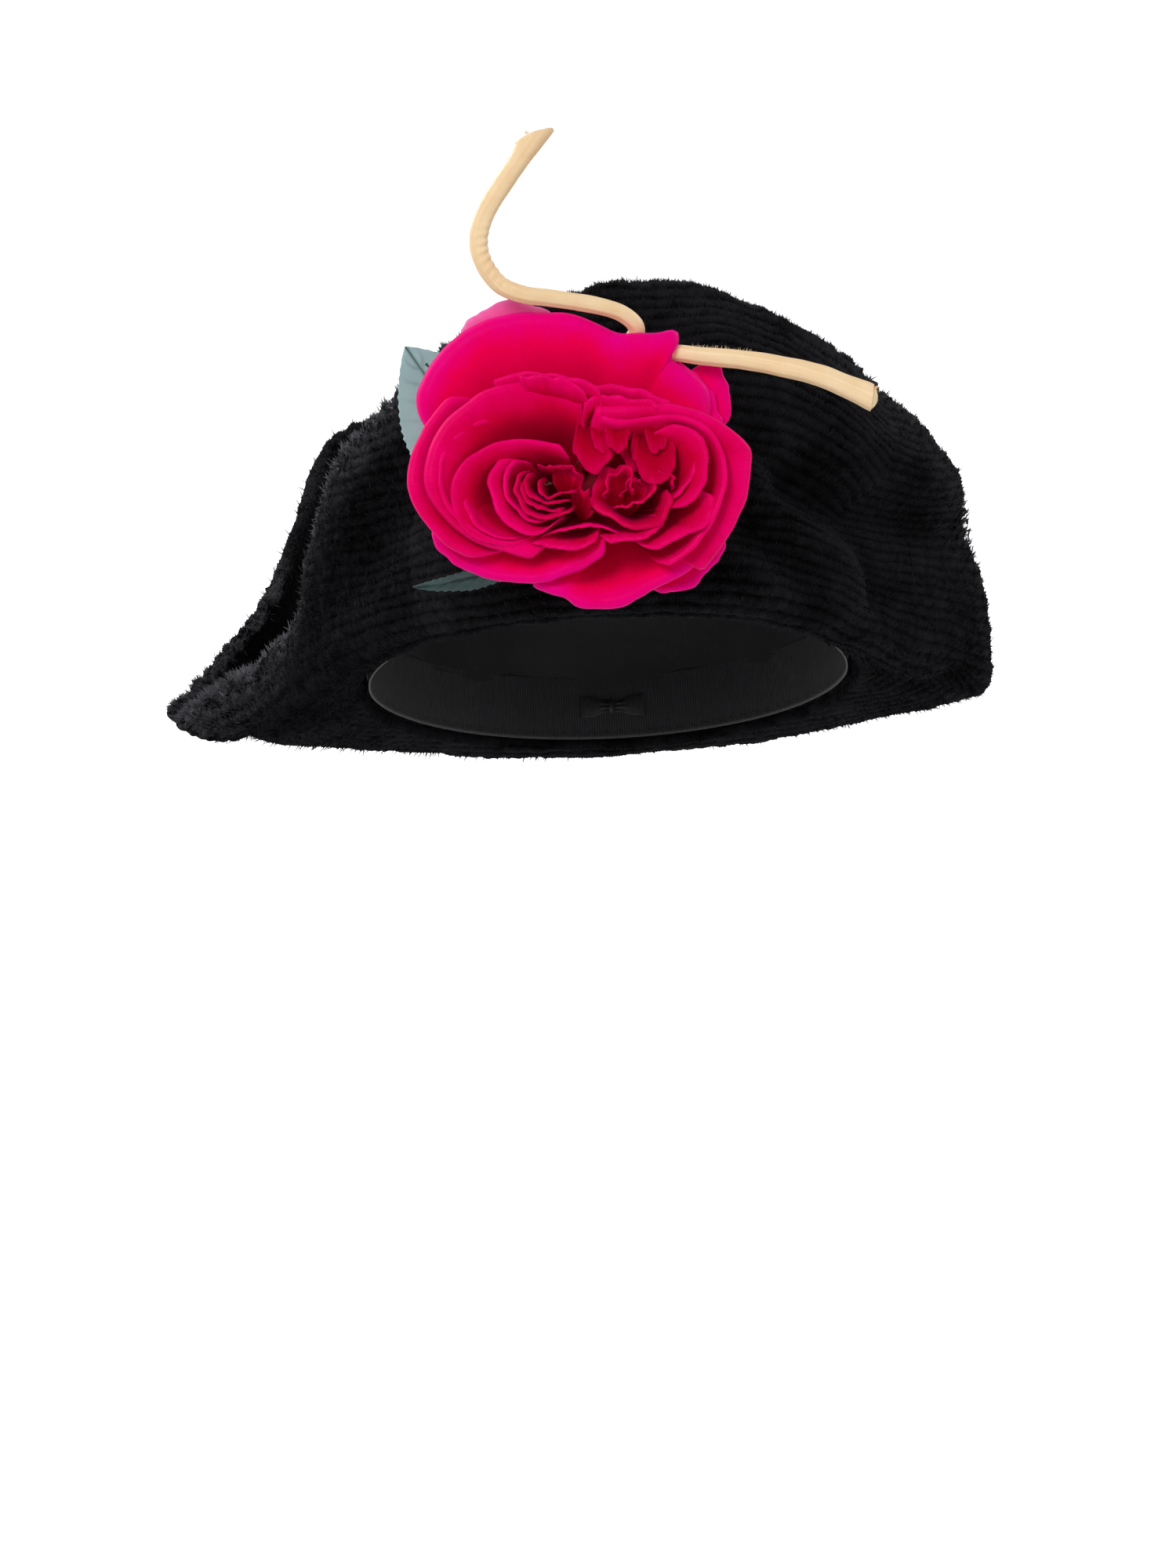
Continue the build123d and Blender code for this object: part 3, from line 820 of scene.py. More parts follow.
# %% The petal finish
def petal_finish(name, root_shade_colour, middle_colour, rim_colour, glow):
    """Silk dyed from root to rim, darker towards the root as painted shade; `glow` is a painted glow that
    stands in for the light that comes through thin silk.
    """
    finish = Finish(name)
    place = finish.attribute("petal", "Vector")
    reach = finish.attribute("reach")
    threads = finish.cloudy(1, 2, 0.5, finish.stretched((220.0, 5.0, 1.0), place))
    blush = finish.cloudy(0.011, 3, 0.5)
    mottle = finish.cloudy(0.0016, 4, 0.6)
    rim_dye_and_root_shade = (reach + (blush - 0.5) * 0.45).clamp()
    # Root to rim: partly dye, lighter and more magenta at the rim, and partly painted shade deep in the cup.
    colour = finish.node(
        "ShaderNodeValToRGB", {"stops": [(0.0, root_shade_colour), (0.62, middle_colour), (1.0, rim_colour)]},
        {"Fac": rim_dye_and_root_shade},
    )
    shaded = finish.blend((threads - 0.45) * 0.5 + (mottle - 0.5) * 0.3, colour, root_shade_colour)
    relief = threads * 0.5 + mottle
    # The emission is a painted glow in the silk's own colour, standing in for light that comes through thin
    # silk.
    return finish.surface(
        Base_Color=shaded, Roughness=0.6, IOR=1.3, Specular_IOR_Level=0.12, Specular_Tint=(1, 0, 0.35, 1),
        Sheen_Weight=0.12, Sheen_Roughness=0.4, Sheen_Tint=(1, 0.01, 0.6, 1), Emission_Color=shaded,
        Emission_Strength=glow, Coat_Weight=reach.between(0.8, 0.96) * 0.045, Coat_Roughness=0.3,
        Normal=finish.bump(relief, 0.00014, 0.7),
    )


# The bowl and heart silks are darker copies of the outer silk: painted shade for petals that sit deep in the
# rose.
outer_silk = petal_finish("outer_petal_silk", (0.45, 0.0, 0.02), (0.76, 0.0, 0.065), (0.72, 0.0, 0.2), 0.08)
bowl_shaded_silk = petal_finish("bowl_petal_silk", (0.2, 0.0, 0.005), (0.55, 0.0, 0.032), (0.78, 0.0, 0.13), 0.06)
heart_shaded_silk = petal_finish("heart_petal_silk", (0.16, 0.0, 0.004), (0.4, 0.0, 0.018), (0.62, 0.0, 0.07), 0.06)
pale_silk = petal_finish("pale_petal_silk", (0.7, 0.0, 0.14), (0.78, 0.06, 0.3), (0.8, 0.2, 0.45), 0.08)

# %% [markdown]
# ## Shaping a petal
# A petal is a thin sheet stretched from its root, near the middle of the rose, to its rim. The rim
# is drawn as a line of points on the rose. A profile says how the sheet climbs in between: a cup
# climbs late and steeply, an open petal leans back and shows its face. The last stretch rolls
# outwards into a soft lip, and noise gives the small waves that heat and handling leave.

# %% Profiles and the petal maker
petal_profiles = {
    "cup": [(0.27, 0.0), (0.6, 0.25), (0.83, 0.6), (0.94, 0.85), (1.0, 1.0)],
    "flare": [(0.27, 0.0), (0.58, 0.3), (0.77, 0.65), (0.89, 0.9), (1.0, 1.0)],
    "wide": [(0.27, 0.0), (0.5, 0.3), (0.66, 0.62), (0.82, 0.9), (1.0, 1.0)],
    "hang": [(0.0, 0.62), (0.3, 0.76), (0.6, 0.9), (0.85, 1.0), (1.0, 1.0)],
    "open": [(0.3, 0.0), (0.55, 0.45), (0.75, 0.8), (0.9, 0.96), (1.0, 1.0)],
}
Petal = namedtuple("Petal", "name profile silk root heights lip roll wave ends rim")


def petal_piece(petal):
    """A closed, thin silk petal from its root to its rolled rim."""
    columns, rows = 84, 23
    roll_share = 0.86
    shape = bmesh.new()
    shape.verts.layers.float.new("reach")
    shape.verts.layers.float_vector.new("petal")
    bmesh.ops.create_grid(shape, x_segments=columns, y_segments=rows, size=1)
    reach = shape.verts.layers.float["reach"]
    place = shape.verts.layers.float_vector["petal"]
    profile = petal_profiles[petal.profile]
    root = Vector(petal.root)
    seed = Vector((sum(map(ord, petal.name)) % 97, 0, 0))
    height_rows = [(value,) for value in petal.heights]
    rim_places = even_places(
        lambda spot: Vector(along_rows(petal.rim, spot)), 0, len(petal.rim) - 1, columns
    )
    for vert in shape.verts:
        round_share = (vert.co.x + 1) / 2
        share = (vert.co.y + 1) / 2
        rim = Vector(along_rows(petal.rim, rim_places[round(round_share * columns)]))
        height = along_rows(height_rows, round_share * (len(height_rows) - 1))[0]
        corner = min(round_share, 1 - round_share) / petal.ends
        kept = 0.72 + 0.28 * smoothly(corner) if petal.ends else 1.0
        spread = rim - root
        full = spread.length - petal.lip
        flat = min(share, roll_share) / roll_share * kept
        width_share, climb = along_rows(profile, flat * (len(profile) - 1))
        before = along_rows(profile, flat * (len(profile) - 1) - 0.02)
        run = Vector(((width_share - before[0]) * full, (climb - before[1]) * height)).normalized()
        turn = radians(petal.roll) * max(0.0, share - roll_share) / (1 - roll_share)
        lip = petal.lip * smoothly(corner * 1.5) if petal.ends else petal.lip
        rolled = run * (lip * sin(turn)) + Vector((run.y, -run.x)) * (lip * (1 - cos(turn)))
        wide = width_share * full + rolled.x
        deep = climb * height + rolled.y
        ripple = noise.noise(seed + Vector((round_share * 6.0, share * 1.6, 0))) * 1.5
        ripple += 0.5 * noise.noise(seed + Vector((round_share * 19.0, share * 2.5, 4.0)))
        wide += petal.wave * ripple * share
        deep += petal.wave * noise.noise(seed + Vector((round_share * 9.0, 8.0, 0))) * share ** 3 * 1.6
        spot = root + spread.normalized() * wide
        vert[reach] = share
        vert[place] = Vector((round_share, share, 0))
        vert.co = on_rose(spot.x, spot.y, seat_height + deep)
    nodes = (petal.name,) if petal.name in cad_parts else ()
    piece = finish_piece(shape, petal.name, nodes, petal.silk, weld=0)
    sheet = piece.modifiers.new("silk thickness", "SOLIDIFY")
    sheet.thickness = 0.3 * MM
    sheet.offset = 0
    return piece


# %% [markdown]
# ## Drawing the rims
# Each rim is a short list of places on the rose. The outer petals come first, then the two halves
# of the bowl, which lie round each other like the leaves of two books, and the lower petals that
# join them.

# %% The table of petals
petals = [
    Petal(
        "petal_back_top", "open", pale_silk, (0, -4), (8, 9, 9), 1.2, 110, 0.7, 0.12,
        [(-35.6, 43.7), (-34.6, 47.4), (-32.2, 51), (-28.3, 53.7), (-23.1, 55.7), (-18.3, 56.1),
         (-13.6, 54.8), (-9.6, 53), (-5, 49.8)],
    ),
    Petal(
        "petal_upper", "open", outer_silk, (0, -4), (10, 14, 9), 3.4, 110, 0.7, 0.12,
        [(-48.6, 16), (-49.7, 21.5), (-49.2, 26.3), (-47, 32.3), (-43.5, 37.9), (-38.8, 42.7),
         (-33.5, 46.3), (-27.2, 49.1), (-21, 50.5), (-14.9, 50.7), (-8.8, 49.9), (-2.1, 49.2),
         (4.6, 46.8), (11.2, 43.9), (17.3, 43.5), (22.6, 43), (26.7, 43.6), (28.4, 42.5), (27.7, 38.9),
         (26, 35.8), (31, 31.9), (35.3, 27.6), (38.1, 22.7), (39.4, 17.2), (39.6, 13.2)],
    ),
    Petal(
        "petal_upper_right", "open", outer_silk, (0, -4), (6, 7, 6), 1.2, 110, 0.7, 0.12,
        [(21.6, 39.7), (27.9, 35.8), (33.4, 31.1), (37.5, 25.5), (39.5, 18.5), (40, 11.7)],
    ),
    Petal(
        "petal_far_right", "open", outer_silk, (0, -4), (4, 5, 4), 1.2, 110, 0.7, 0.12,
        [(29, 31.1), (31.8, 33.3), (36, 34.9), (39.5, 33.7), (41.6, 29.1), (42.4, 23.9), (42, 19.2),
         (40.1, 14.9)],
    ),
    Petal(
        "petal_lower_left", "open", outer_silk, (0, -4), (9, 13, 17), 1.8, 110, 0.7, 0.05,
        [(-45, -7.7), (-44.6, -12.3), (-43.4, -15.7), (-39, -20.1), (-33.3, -23.4), (-27.3, -26),
         (-20.6, -27.3), (-15.2, -27.6), (-9, -26.3), (-2.8, -24.3), (2, -22), (6, -19.8)],
    ),
    Petal(
        "petal_bottom", "flare", outer_silk, (0, -4), (10, 12, 13), 1.6, 110, 0.7, 0.05,
        [(-17.3, -24.2), (-15.8, -27.4), (-11.5, -30.4), (-7.1, -31.9), (-4.2, -34.1), (0.5, -35.3),
         (5.9, -35.2), (12, -33.6), (17.5, -31.5), (23.7, -28.7), (29.9, -24.9), (35.6, -20.2),
         (37.7, -16.9)],
    ),
    Petal(
        "petal_lower_right", "cup", outer_silk, (0, -4), (5, 6, 5), 1.2, 110, 0.7, 0.12,
        [(12.8, -27.4), (18, -30.7), (22.7, -31.3), (27.9, -29.9), (32.5, -26), (37.1, -21.4),
         (40.4, -15.6)],
    ),
    Petal(
        "petal_left_1", "flare", bowl_shaded_silk, (-3, -4), (16, 19, 17), 1.8, 95, 0.5, 0.12,
        [(-26.2, -21.3), (-33.5, -19.4), (-39.3, -16.4), (-43.8, -12.7), (-47.6, -7.5), (-49.9, -1.3),
         (-50.2, 4), (-48.8, 10.2), (-46.2, 15.6), (-42.6, 20.9), (-39.1, 25.2), (-35.3, 28),
         (-30.5, 29.3)],
    ),
    Petal(
        "petal_left_2", "wide", bowl_shaded_silk, (-3, -4), (18, 22, 19), 2.4, 95, 0.5, 0.03,
        [(-13.3, -21), (-22.6, -19.2), (-31.1, -16.4), (-37.6, -11.9), (-42.3, -6.2), (-45, 0),
         (-45, 6), (-42.5, 12.6), (-38, 18.8), (-32.5, 23.4), (-27, 26.9), (-20.2, 28.5),
         (-12.8, 29.2), (-6.8, 28.5), (-1.6, 26.1), (1.9, 22.9)],
    ),
    Petal(
        "petal_left_3", "cup", bowl_shaded_silk, (-3, -4), (19, 22, 20), 0.9, 95, 0.5, 0.04,
        [(-19.8, -18.2), (-27.7, -16.2), (-34.2, -12.1), (-38.9, -6.6), (-41.2, -0.4), (-41, 5.8),
         (-38.1, 11.8), (-32.2, 16.4), (-25.4, 19.1)],
    ),
    Petal(
        "petal_left_4", "flare", bowl_shaded_silk, (-3, -4), (19, 23, 20), 0.9, 95, 0.5, 0.04,
        [(-18.4, -17.4), (-24.4, -17.6), (-31, -15.7), (-35.4, -11.5), (-37.7, -6.1), (-37.5, -0.1),
         (-34.6, 5.1), (-30, 8.6), (-23.8, 11.2), (-16.5, 11.7), (-10.5, 11.2), (-4.7, 9.3)],
    ),
    Petal(
        "petal_left_5", "cup", bowl_shaded_silk, (-3, -4), (19, 21, 19), 0.9, 95, 0.5, 0.12,
        [(-18.4, -16.1), (-24.4, -15.8), (-28.9, -13.7), (-32.4, -9.9), (-34.4, -4.7), (-34.5, 0.2),
         (-32.8, 4.6), (-29.7, 7.6)],
    ),
    Petal(
        "petal_left_6", "flare", bowl_shaded_silk, (-3, -4), (20, 22, 18), 0.9, 95, 0.5, 0.12,
        [(-8.2, -11.7), (-12.9, -14.7), (-17.5, -14.5), (-22, -11.8), (-25.5, -7.5), (-27, -1.8),
         (-26.5, 3.2), (-24, 7.2), (-19.3, 9.3)],
    ),
    Petal(
        "petal_left_7", "cup", bowl_shaded_silk, (-3, -4), (18, 20, 18), 0.9, 95, 0.5, 0.12,
        [(-8.7, -9), (-12.8, -11.3), (-16.8, -10.5), (-20.6, -7.3), (-22.7, -3.1), (-23.2, 1.8),
         (-21.4, 5.9), (-17.3, 8.1)],
    ),
    Petal(
        "petal_right_1", "wide", bowl_shaded_silk, (3, -4), (14, 20, 21), 2.2, 95, 0.5, 0.03,
        [(29.8, -28.2), (36.2, -21.9), (40.5, -15.5), (44.3, -8.4), (46.3, -1.9), (46.9, 4.7),
         (45.5, 8), (42, 11.7), (38.2, 14.9), (32.9, 17.7), (26.4, 19.7), (20.4, 20.2), (13, 19.8),
         (6.3, 20.2), (2.2, 21.8)],
    ),
    Petal(
        "petal_right_2", "cup", bowl_shaded_silk, (3, -4), (18, 21, 22), 1.2, 95, 0.5, 0.03,
        [(20.6, -26.3), (28.2, -22.1), (33.8, -16.4), (37.9, -8.6), (39.9, -2), (39.6, 4.7),
         (37.2, 10.2), (32.8, 14.1), (26.2, 16.2), (19.5, 16.2), (12.8, 15.5), (7.5, 16.4), (4.1, 18.2)],
    ),
    Petal(
        "petal_right_3", "flare", bowl_shaded_silk, (3, -4), (20, 23, 21), 0.9, 95, 0.5, 0.12,
        [(23.8, -10.2), (27.9, -9.3), (32.1, -6.1), (34.3, -2.2), (34.9, 5.2), (32.4, 10.9),
         (26.7, 13.6), (21.8, 14.8)],
    ),
    Petal(
        "petal_right_4", "cup", bowl_shaded_silk, (3, -4), (19, 21, 19), 0.9, 95, 0.5, 0.12,
        [(24.2, -8), (27.8, -4.7), (31, -0.3), (32, 5.1), (30.5, 9.8), (26.6, 12.7)],
    ),
    Petal(
        "petal_right_5", "flare", bowl_shaded_silk, (3, -4), (18, 21, 19), 0.9, 95, 0.5, 0.12,
        [(12.3, -18.2), (18.2, -20.9), (23.7, -19.3), (28.9, -17.1), (32.5, -15.8), (35.7, -11.8),
         (36.6, -7.8), (35.3, -3.9)],
    ),
    Petal(
        "petal_lower_1", "flare", bowl_shaded_silk, (0, -4), (18, 20, 19), 0.9, 95, 0.5, 0.12,
        [(-18.5, -17.9), (-14.4, -17.6), (-9.8, -19.3), (-4.4, -19.8), (0.3, -18.6), (3.9, -16.3)],
    ),
    Petal(
        "petal_lower_2", "flare", bowl_shaded_silk, (0, -4), (20, 21, 20), 0.9, 95, 0.5, 0.12,
        [(4, -18.7), (10, -18.4), (15.8, -17.9), (20.2, -15.3), (23, -12.2)],
    ),
    Petal(
        "petal_lower_3", "cup", bowl_shaded_silk, (0, -4), (17, 19, 17), 0.9, 95, 0.5, 0.12,
        [(-15.8, -16.7), (-10.3, -14.7), (-4.9, -14), (0.5, -13.6), (5.8, -14.7), (11, -16.5)],
    ),
]

# %% [markdown]
# ## The heart of the rose
# In the middle of each half the petals are rolled into a tight swirl, and above them hang a few
# short crumpled ones. Thin folded petals fill the gap above the two halves. They are drawn like the
# others, only smaller, more waved and a little darker, as painted shade deep in the heart.

# %% Swirls, crumpled petals and folded fillers
petals += [
    Petal(
        "petal_left_swirl_1", "cup", heart_shaded_silk, (-9.7, -0), (20, 21, 19), 0.8, 100, 0.6, 0.1,
        [(-17.3, 5), (-19.5, 2), (-20.1, -2.1), (-18.5, -6.1), (-16.2, -8.9), (-12.1, -10.5),
         (-7, -9.8), (-2.6, -7.9)],
    ),
    Petal(
        "petal_left_swirl_2", "cup", heart_shaded_silk, (-9.7, 0.7), (19, 20, 18), 0.7, 100, 0.6, 0.1,
        [(-18.1, 1.5), (-18.5, -1.3), (-17.4, -4.1), (-14.9, -6.6), (-10.6, -8.5), (-5.5, -8.4)],
    ),
    Petal(
        "petal_left_swirl_3", "cup", heart_shaded_silk, (-9, 1.7), (18, 19, 17), 0.7, 100, 0.6, 0.1,
        [(-15.8, 4), (-16.9, 0.9), (-16.7, -1.9), (-14.9, -4.4), (-12, -5.9), (-8.5, -6.3),
         (-3.6, -5.6)],
    ),
    Petal(
        "petal_left_swirl_4", "cup", heart_shaded_silk, (-8.2, 2.6), (17, 18, 16), 0.6, 100, 0.7, 0.1,
        [(-12.2, 2.2), (-13.2, -0.5), (-12.7, -3.2), (-10.6, -4.4), (-6.5, -3.6), (-1.8, -2.5)],
    ),
    Petal(
        "petal_left_swirl_5", "cup", heart_shaded_silk, (-8.3, 2), (16, 18, 18), 0.6, 100, 0.8, 0.1,
        [(-1.6, 1.1), (-3.4, 3.8), (-6.7, 4.8), (-10.7, 4.6), (-14.1, 5.4)],
    ),
    Petal(
        "petal_right_swirl_1", "flare", heart_shaded_silk, (10, -0.5), (18, 21, 19), 1.0, 100, 0.5, 0.1,
        [(-0.1, -6.1), (4.3, -9.4), (8.8, -13.1), (13.6, -15.5), (18.5, -14.9), (21.9, -12.7),
         (23.7, -8.7), (24.2, -6), (25.6, -4.4)],
    ),
    Petal(
        "petal_right_swirl_2", "cup", heart_shaded_silk, (10, 0.2), (18, 20, 18), 0.7, 100, 0.7, 0.1,
        [(6.6, -8.8), (10.9, -9.1), (14.2, -8.3), (17.3, -7.1), (19, -5), (19, -1.9), (17.6, 0.3)],
    ),
    Petal(
        "petal_right_swirl_3", "cup", heart_shaded_silk, (8.5, -3.8), (16, 19, 17), 0.7, 100, 1.2, 0.1,
        [(4.1, -6), (5, -2.2), (6.9, 1), (9.7, 2.3), (12.3, 1.6), (13.8, -1.4), (14.6, -5.4)],
    ),
    Petal(
        "petal_right_swirl_4", "cup", heart_shaded_silk, (11.9, -3.3), (15, 18, 16), 0.6, 100, 1.2, 0.1,
        [(8.8, -6.1), (10.7, -3.1), (12.5, -1.1), (14.9, 0), (16.7, -2)],
    ),
    Petal(
        "petal_right_swirl_5", "cup", heart_shaded_silk, (16.7, -1.5), (19, 19, 17), 0.7, 100, 0.8, 0.1,
        [(25.6, -4.4), (24.9, -1), (22.7, 0.9), (19.3, 1.6), (16.7, 2.6)],
    ),
    Petal(
        "petal_core_1", "hang", heart_shaded_silk, (2.5, 26.2), (17, 19, 18), 0.7, 80, 1.2, 0.1,
        [(-2.9, 14), (-3, 9.1), (-1.9, 5.5), (0.7, 3.2), (4, 2.7), (7.1, 4.2), (8.6, 7.6), (8.5, 13.1)],
    ),
    Petal(
        "petal_core_2", "hang", heart_shaded_silk, (9, 27.9), (20, 21, 20), 0.7, 80, 1.0, 0.1,
        [(6.1, 16.3), (6.8, 10.7), (9.6, 6.3), (12.4, 9), (13.7, 15.2)],
    ),
    Petal(
        "petal_core_3", "hang", heart_shaded_silk, (19.4, 25.3), (17, 19, 18), 0.8, 80, 1.4, 0.1,
        [(13.9, 13.7), (13.9, 6.8), (14.9, 0.5), (17.8, -2.2), (21.8, -2.1), (24.7, 0.5), (26, 6.6),
         (25.3, 12.8)],
    ),
    Petal(
        "petal_core_4", "hang", heart_shaded_silk, (5.2, 27.5), (18.5, 19.5, 18.5), 0.6, 80, 1.2, 0.1,
        [(1.9, 14.8), (2.4, 10.6), (4.9, 7.6), (7.7, 10.3), (8.9, 14.4)],
    ),
    Petal(
        "petal_core_5", "hang", heart_shaded_silk, (20.1, 24.5), (19, 20, 19), 0.6, 80, 1.2, 0.1,
        [(17.3, 13.8), (18.1, 9.6), (20.3, 6.6), (23.1, 9.3), (24, 13.4)],
    ),
    Petal(
        "petal_core_6", "hang", heart_shaded_silk, (13.3, 25.6), (15, 16, 15), 0.6, 80, 1.4, 0.1,
        [(9.5, 15.1), (10.5, 8.1), (13.3, 3), (16.2, 7.1), (17.2, 13.9)],
    ),
    Petal(
        "petal_core_7", "hang", heart_shaded_silk, (8.8, -11.4), (14, 16, 14), 0.6, 80, 1.6, 0.1,
        [(0.6, -7.5), (1.5, -2.9), (3.7, 0.7), (7.2, 2.4), (10.9, 2.9), (14.5, 1.4), (16.7, -1.7),
         (17.1, -6.4)],
    ),
    Petal(
        "petal_core_9", "hang", heart_shaded_silk, (-2.4, -10.1), (11, 13, 11), 0.6, 80, 1.2, 0.1,
        [(-4.8, -4.6), (-2.9, -1.8), (-0.2, -1.4), (1.7, -4.4), (1.7, -9)],
    ),
    Petal(
        "petal_core_8", "hang", heart_shaded_silk, (-5.9, -5.1), (12, 14, 12), 0.6, 80, 1.4, 0.1,
        [(-10.5, 2.4), (-9, 4.2), (-6.2, 4.6), (-2.9, 3.4), (-1.1, 0.7), (-1, -2.9)],
    ),
    Petal(
        "petal_fold_1", "flare", bowl_shaded_silk, (3.2, -0.8), (19, 21, 22), 1.0, 95, 0.5, 0.08,
        [(-27, 29.2), (-21.5, 30.8), (-16.1, 31.6), (-10.7, 31.3), (-5.3, 30.2), (-0, 28.3),
         (4.6, 25.6), (6.8, 23)],
    ),
    Petal(
        "petal_fold_2", "flare", bowl_shaded_silk, (3.2, -0.8), (20, 20, 20), 1.0, 95, 0.5, 0.08,
        [(-1, 22.8), (1.1, 25.8), (5.2, 26.9), (10.6, 26.6), (17.2, 24.6), (22.4, 22), (26.3, 19.2)],
    ),
    Petal(
        "petal_fold_3", "flare", bowl_shaded_silk, (3.2, -0.8), (21, 21, 21), 0.9, 95, 0.5, 0.08,
        [(-0.4, 20.5), (3.1, 23.4), (7.8, 23.6), (13.1, 22.3), (19.1, 20.9), (23.6, 18.8)],
    ),
    Petal(
        "petal_fold_4", "flare", bowl_shaded_silk, (3.2, -0.8), (22, 23, 22), 0.9, 95, 0.5, 0.08,
        [(-18.7, 30.1), (-13.3, 30.1), (-6.6, 28.9), (-0.7, 26.5), (2.2, 23.6)],
    ),
]
for petal in petals:
    petal_piece(petal)

# %% [markdown]
# ## Under the rose
# The rose is built on a waxed cloth base, the receptacle, and a disc of felt takes the stitches
# that hold it to the flap. Little of this shows, but it is what the petals stand on, so it gets the
# same care: the base is a spun button shape, and the felt has a fuzzy, slightly wavy edge.

# %% Felt, base and stitches
def felt_finish(name, dark, light):
    finish = Finish(name)
    fuzz = finish.cloudy(0.0009, 5, 0.7)
    patches = finish.cloudy(0.006, 2)
    colour = finish.blend((fuzz * 0.8 + patches * 0.5 - 0.15).clamp(), dark, light)
    return finish.surface(
        Base_Color=colour, Roughness=0.95, Sheen_Weight=0.25, Sheen_Roughness=0.5,
        Normal=finish.bump(fuzz, 0.0003, 0.9),
    )


black_felt = felt_finish("black_felt", (0.006, 0.007, 0.006), (0.03, 0.032, 0.03))
waxed_cloth = felt_finish("waxed_base_cloth", (0.25, 0.0, 0.012), (0.5, 0.0, 0.03))


def turned_button(name, node, material, outline, steps=96, wobble=0.0):
    """Spin an outline of radii and depths round the rose's axis."""
    shape = bmesh.new()
    points = [shape.verts.new((radius, 0, depth)) for radius, depth in outline]
    edges = [shape.edges.new(pair) for pair in zip(points, points[1:])]
    bmesh.ops.spin(
        shape, geom=points + edges, cent=(0, 0, 0), axis=(0, 0, 1), dvec=(0, 0, 0),
        angle=2 * pi, steps=steps, use_merge=True, use_duplicate=False,
    )
    bmesh.ops.remove_doubles(shape, verts=shape.verts, dist=0.001)
    for vert in shape.verts:
        spot = vert.co.copy()
        grown = 1 + wobble * noise.noise(spot / 3)
        vert.co = on_rose(spot.x * grown, spot.y * grown, spot.z)
    return finish_piece(shape, name, (node,), material, weld=0)


turned_button(
    "felt_disc", "rose_felt", black_felt,
    [(0, 0.2), (12, 0.2), (26.4, 0.25), (27, 0.7), (26.9, 1.2), (26.3, 1.65), (20, 1.7), (10, 1.7), (0, 1.7)],
    120, 0.012,
)
turned_button(
    "rose_base", "rose_receptacle", waxed_cloth,
    [(0, 1.95), (19.5, 1.95), (21, 2.5), (22, 4), (21.9, 5.6), (20.5, 6.6), (16, 6.9), (9, 6.9), (0, 6.9)],
)


def thread_finish():
    finish = Finish("waxed_thread")
    turns = finish.node("ShaderNodeTexWave", {"bands_direction": "DIAGONAL"}, {"Scale": 900.0})
    colour = finish.blend(turns, (0.01, 0.01, 0.01), (0.05, 0.05, 0.05))
    return finish.surface(Base_Color=colour, Roughness=0.5, Normal=finish.bump(turns, 0.0001))


waxed_thread = thread_finish()
for material_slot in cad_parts["rose_stitches"].material_slots:
    material_slot.material = waxed_thread

# %% [markdown]
# ## Stamens
# A few short brown threads with swollen, bent tips stand in the heart of the rose, where the two
# swirls leave a gap.

# %% The stamens
def stamen_finish():
    finish = Finish("stamen_thread")
    grain = finish.cloudy(0.0006, 3)
    colour = finish.blend(grain, (0.03, 0.012, 0.006), (0.22, 0.12, 0.05))
    return finish.surface(Base_Color=colour, Roughness=0.6, Normal=finish.bump(grain, 0.0001))


stamen_thread = stamen_finish()


def tube_along(shape, points, radii, sides, flat=1.0):
    """Add a closed tube along a smooth line of points, with a radius at each of them."""
    count = (len(points) - 1) * 6
    lines = [Vector(along_rows(points, step / 6)) for step in range(count + 1)]
    rings = []
    side = None
    for step, centre in enumerate(lines):
        ahead = lines[min(count, step + 1)] - lines[max(0, step - 1)]
        ahead.normalize()
        side = (side - ahead * side.dot(ahead)).normalized() if side else ahead.orthogonal().normalized()
        radius = along_rows([(value,) for value in radii], step / 6)[0]
        ring = bmesh.ops.create_circle(shape, cap_ends=False, segments=sides, radius=1)["verts"]
        across = ahead.cross(side)
        for corner, vert in enumerate(ring):
            turn = 2 * pi * corner / sides
            vert.co = centre + side * (radius * cos(turn)) + across * (radius * flat * sin(turn))
        rings.append(ring)
    for first, second in zip(rings, rings[1:]):
        for corner in range(sides):
            after = (corner + 1) % sides
            shape.faces.new((first[corner], first[after], second[after], second[corner]))
    shape.faces.new(rings[0])
    shape.faces.new(rings[-1])


stamens = bmesh.new()
stamen_chance = random.Random(4)
for turn in range(7):
    lean_x, lean_y = stamen_chance.uniform(-5, 4), stamen_chance.uniform(-3, 3)
    foot_x, foot_y = -6 + lean_x * 0.3, 4 + lean_y * 0.3
    tall = 12 + stamen_chance.uniform(-3, 3)
    line = [
        on_rose(foot_x, foot_y, 7),
        on_rose(foot_x + lean_x * 0.5, foot_y + lean_y * 0.5, 7 + tall * 0.6),
        on_rose(foot_x + lean_x, foot_y + lean_y, 7 + tall),
        on_rose(foot_x + lean_x * 1.4, foot_y + lean_y, 8 + tall),
    ]
    tube_along(stamens, line, (0.22, 0.18, 0.22, 0.42), 8)
finish_piece(stamens, "stamens", ("rose_stamens",), stamen_thread, weld=0)

# %% [markdown]
# ## Cloth leaves
# Each leaf is stamped from starched cotton with a toothed edge, dyed pale on its face and darker at
# the back, and a thin wire is glued along its midrib. The grid gives the outline its teeth, a crease
# at the midrib and raised side veins; the attribute `vein` tells the finish where the veins are.

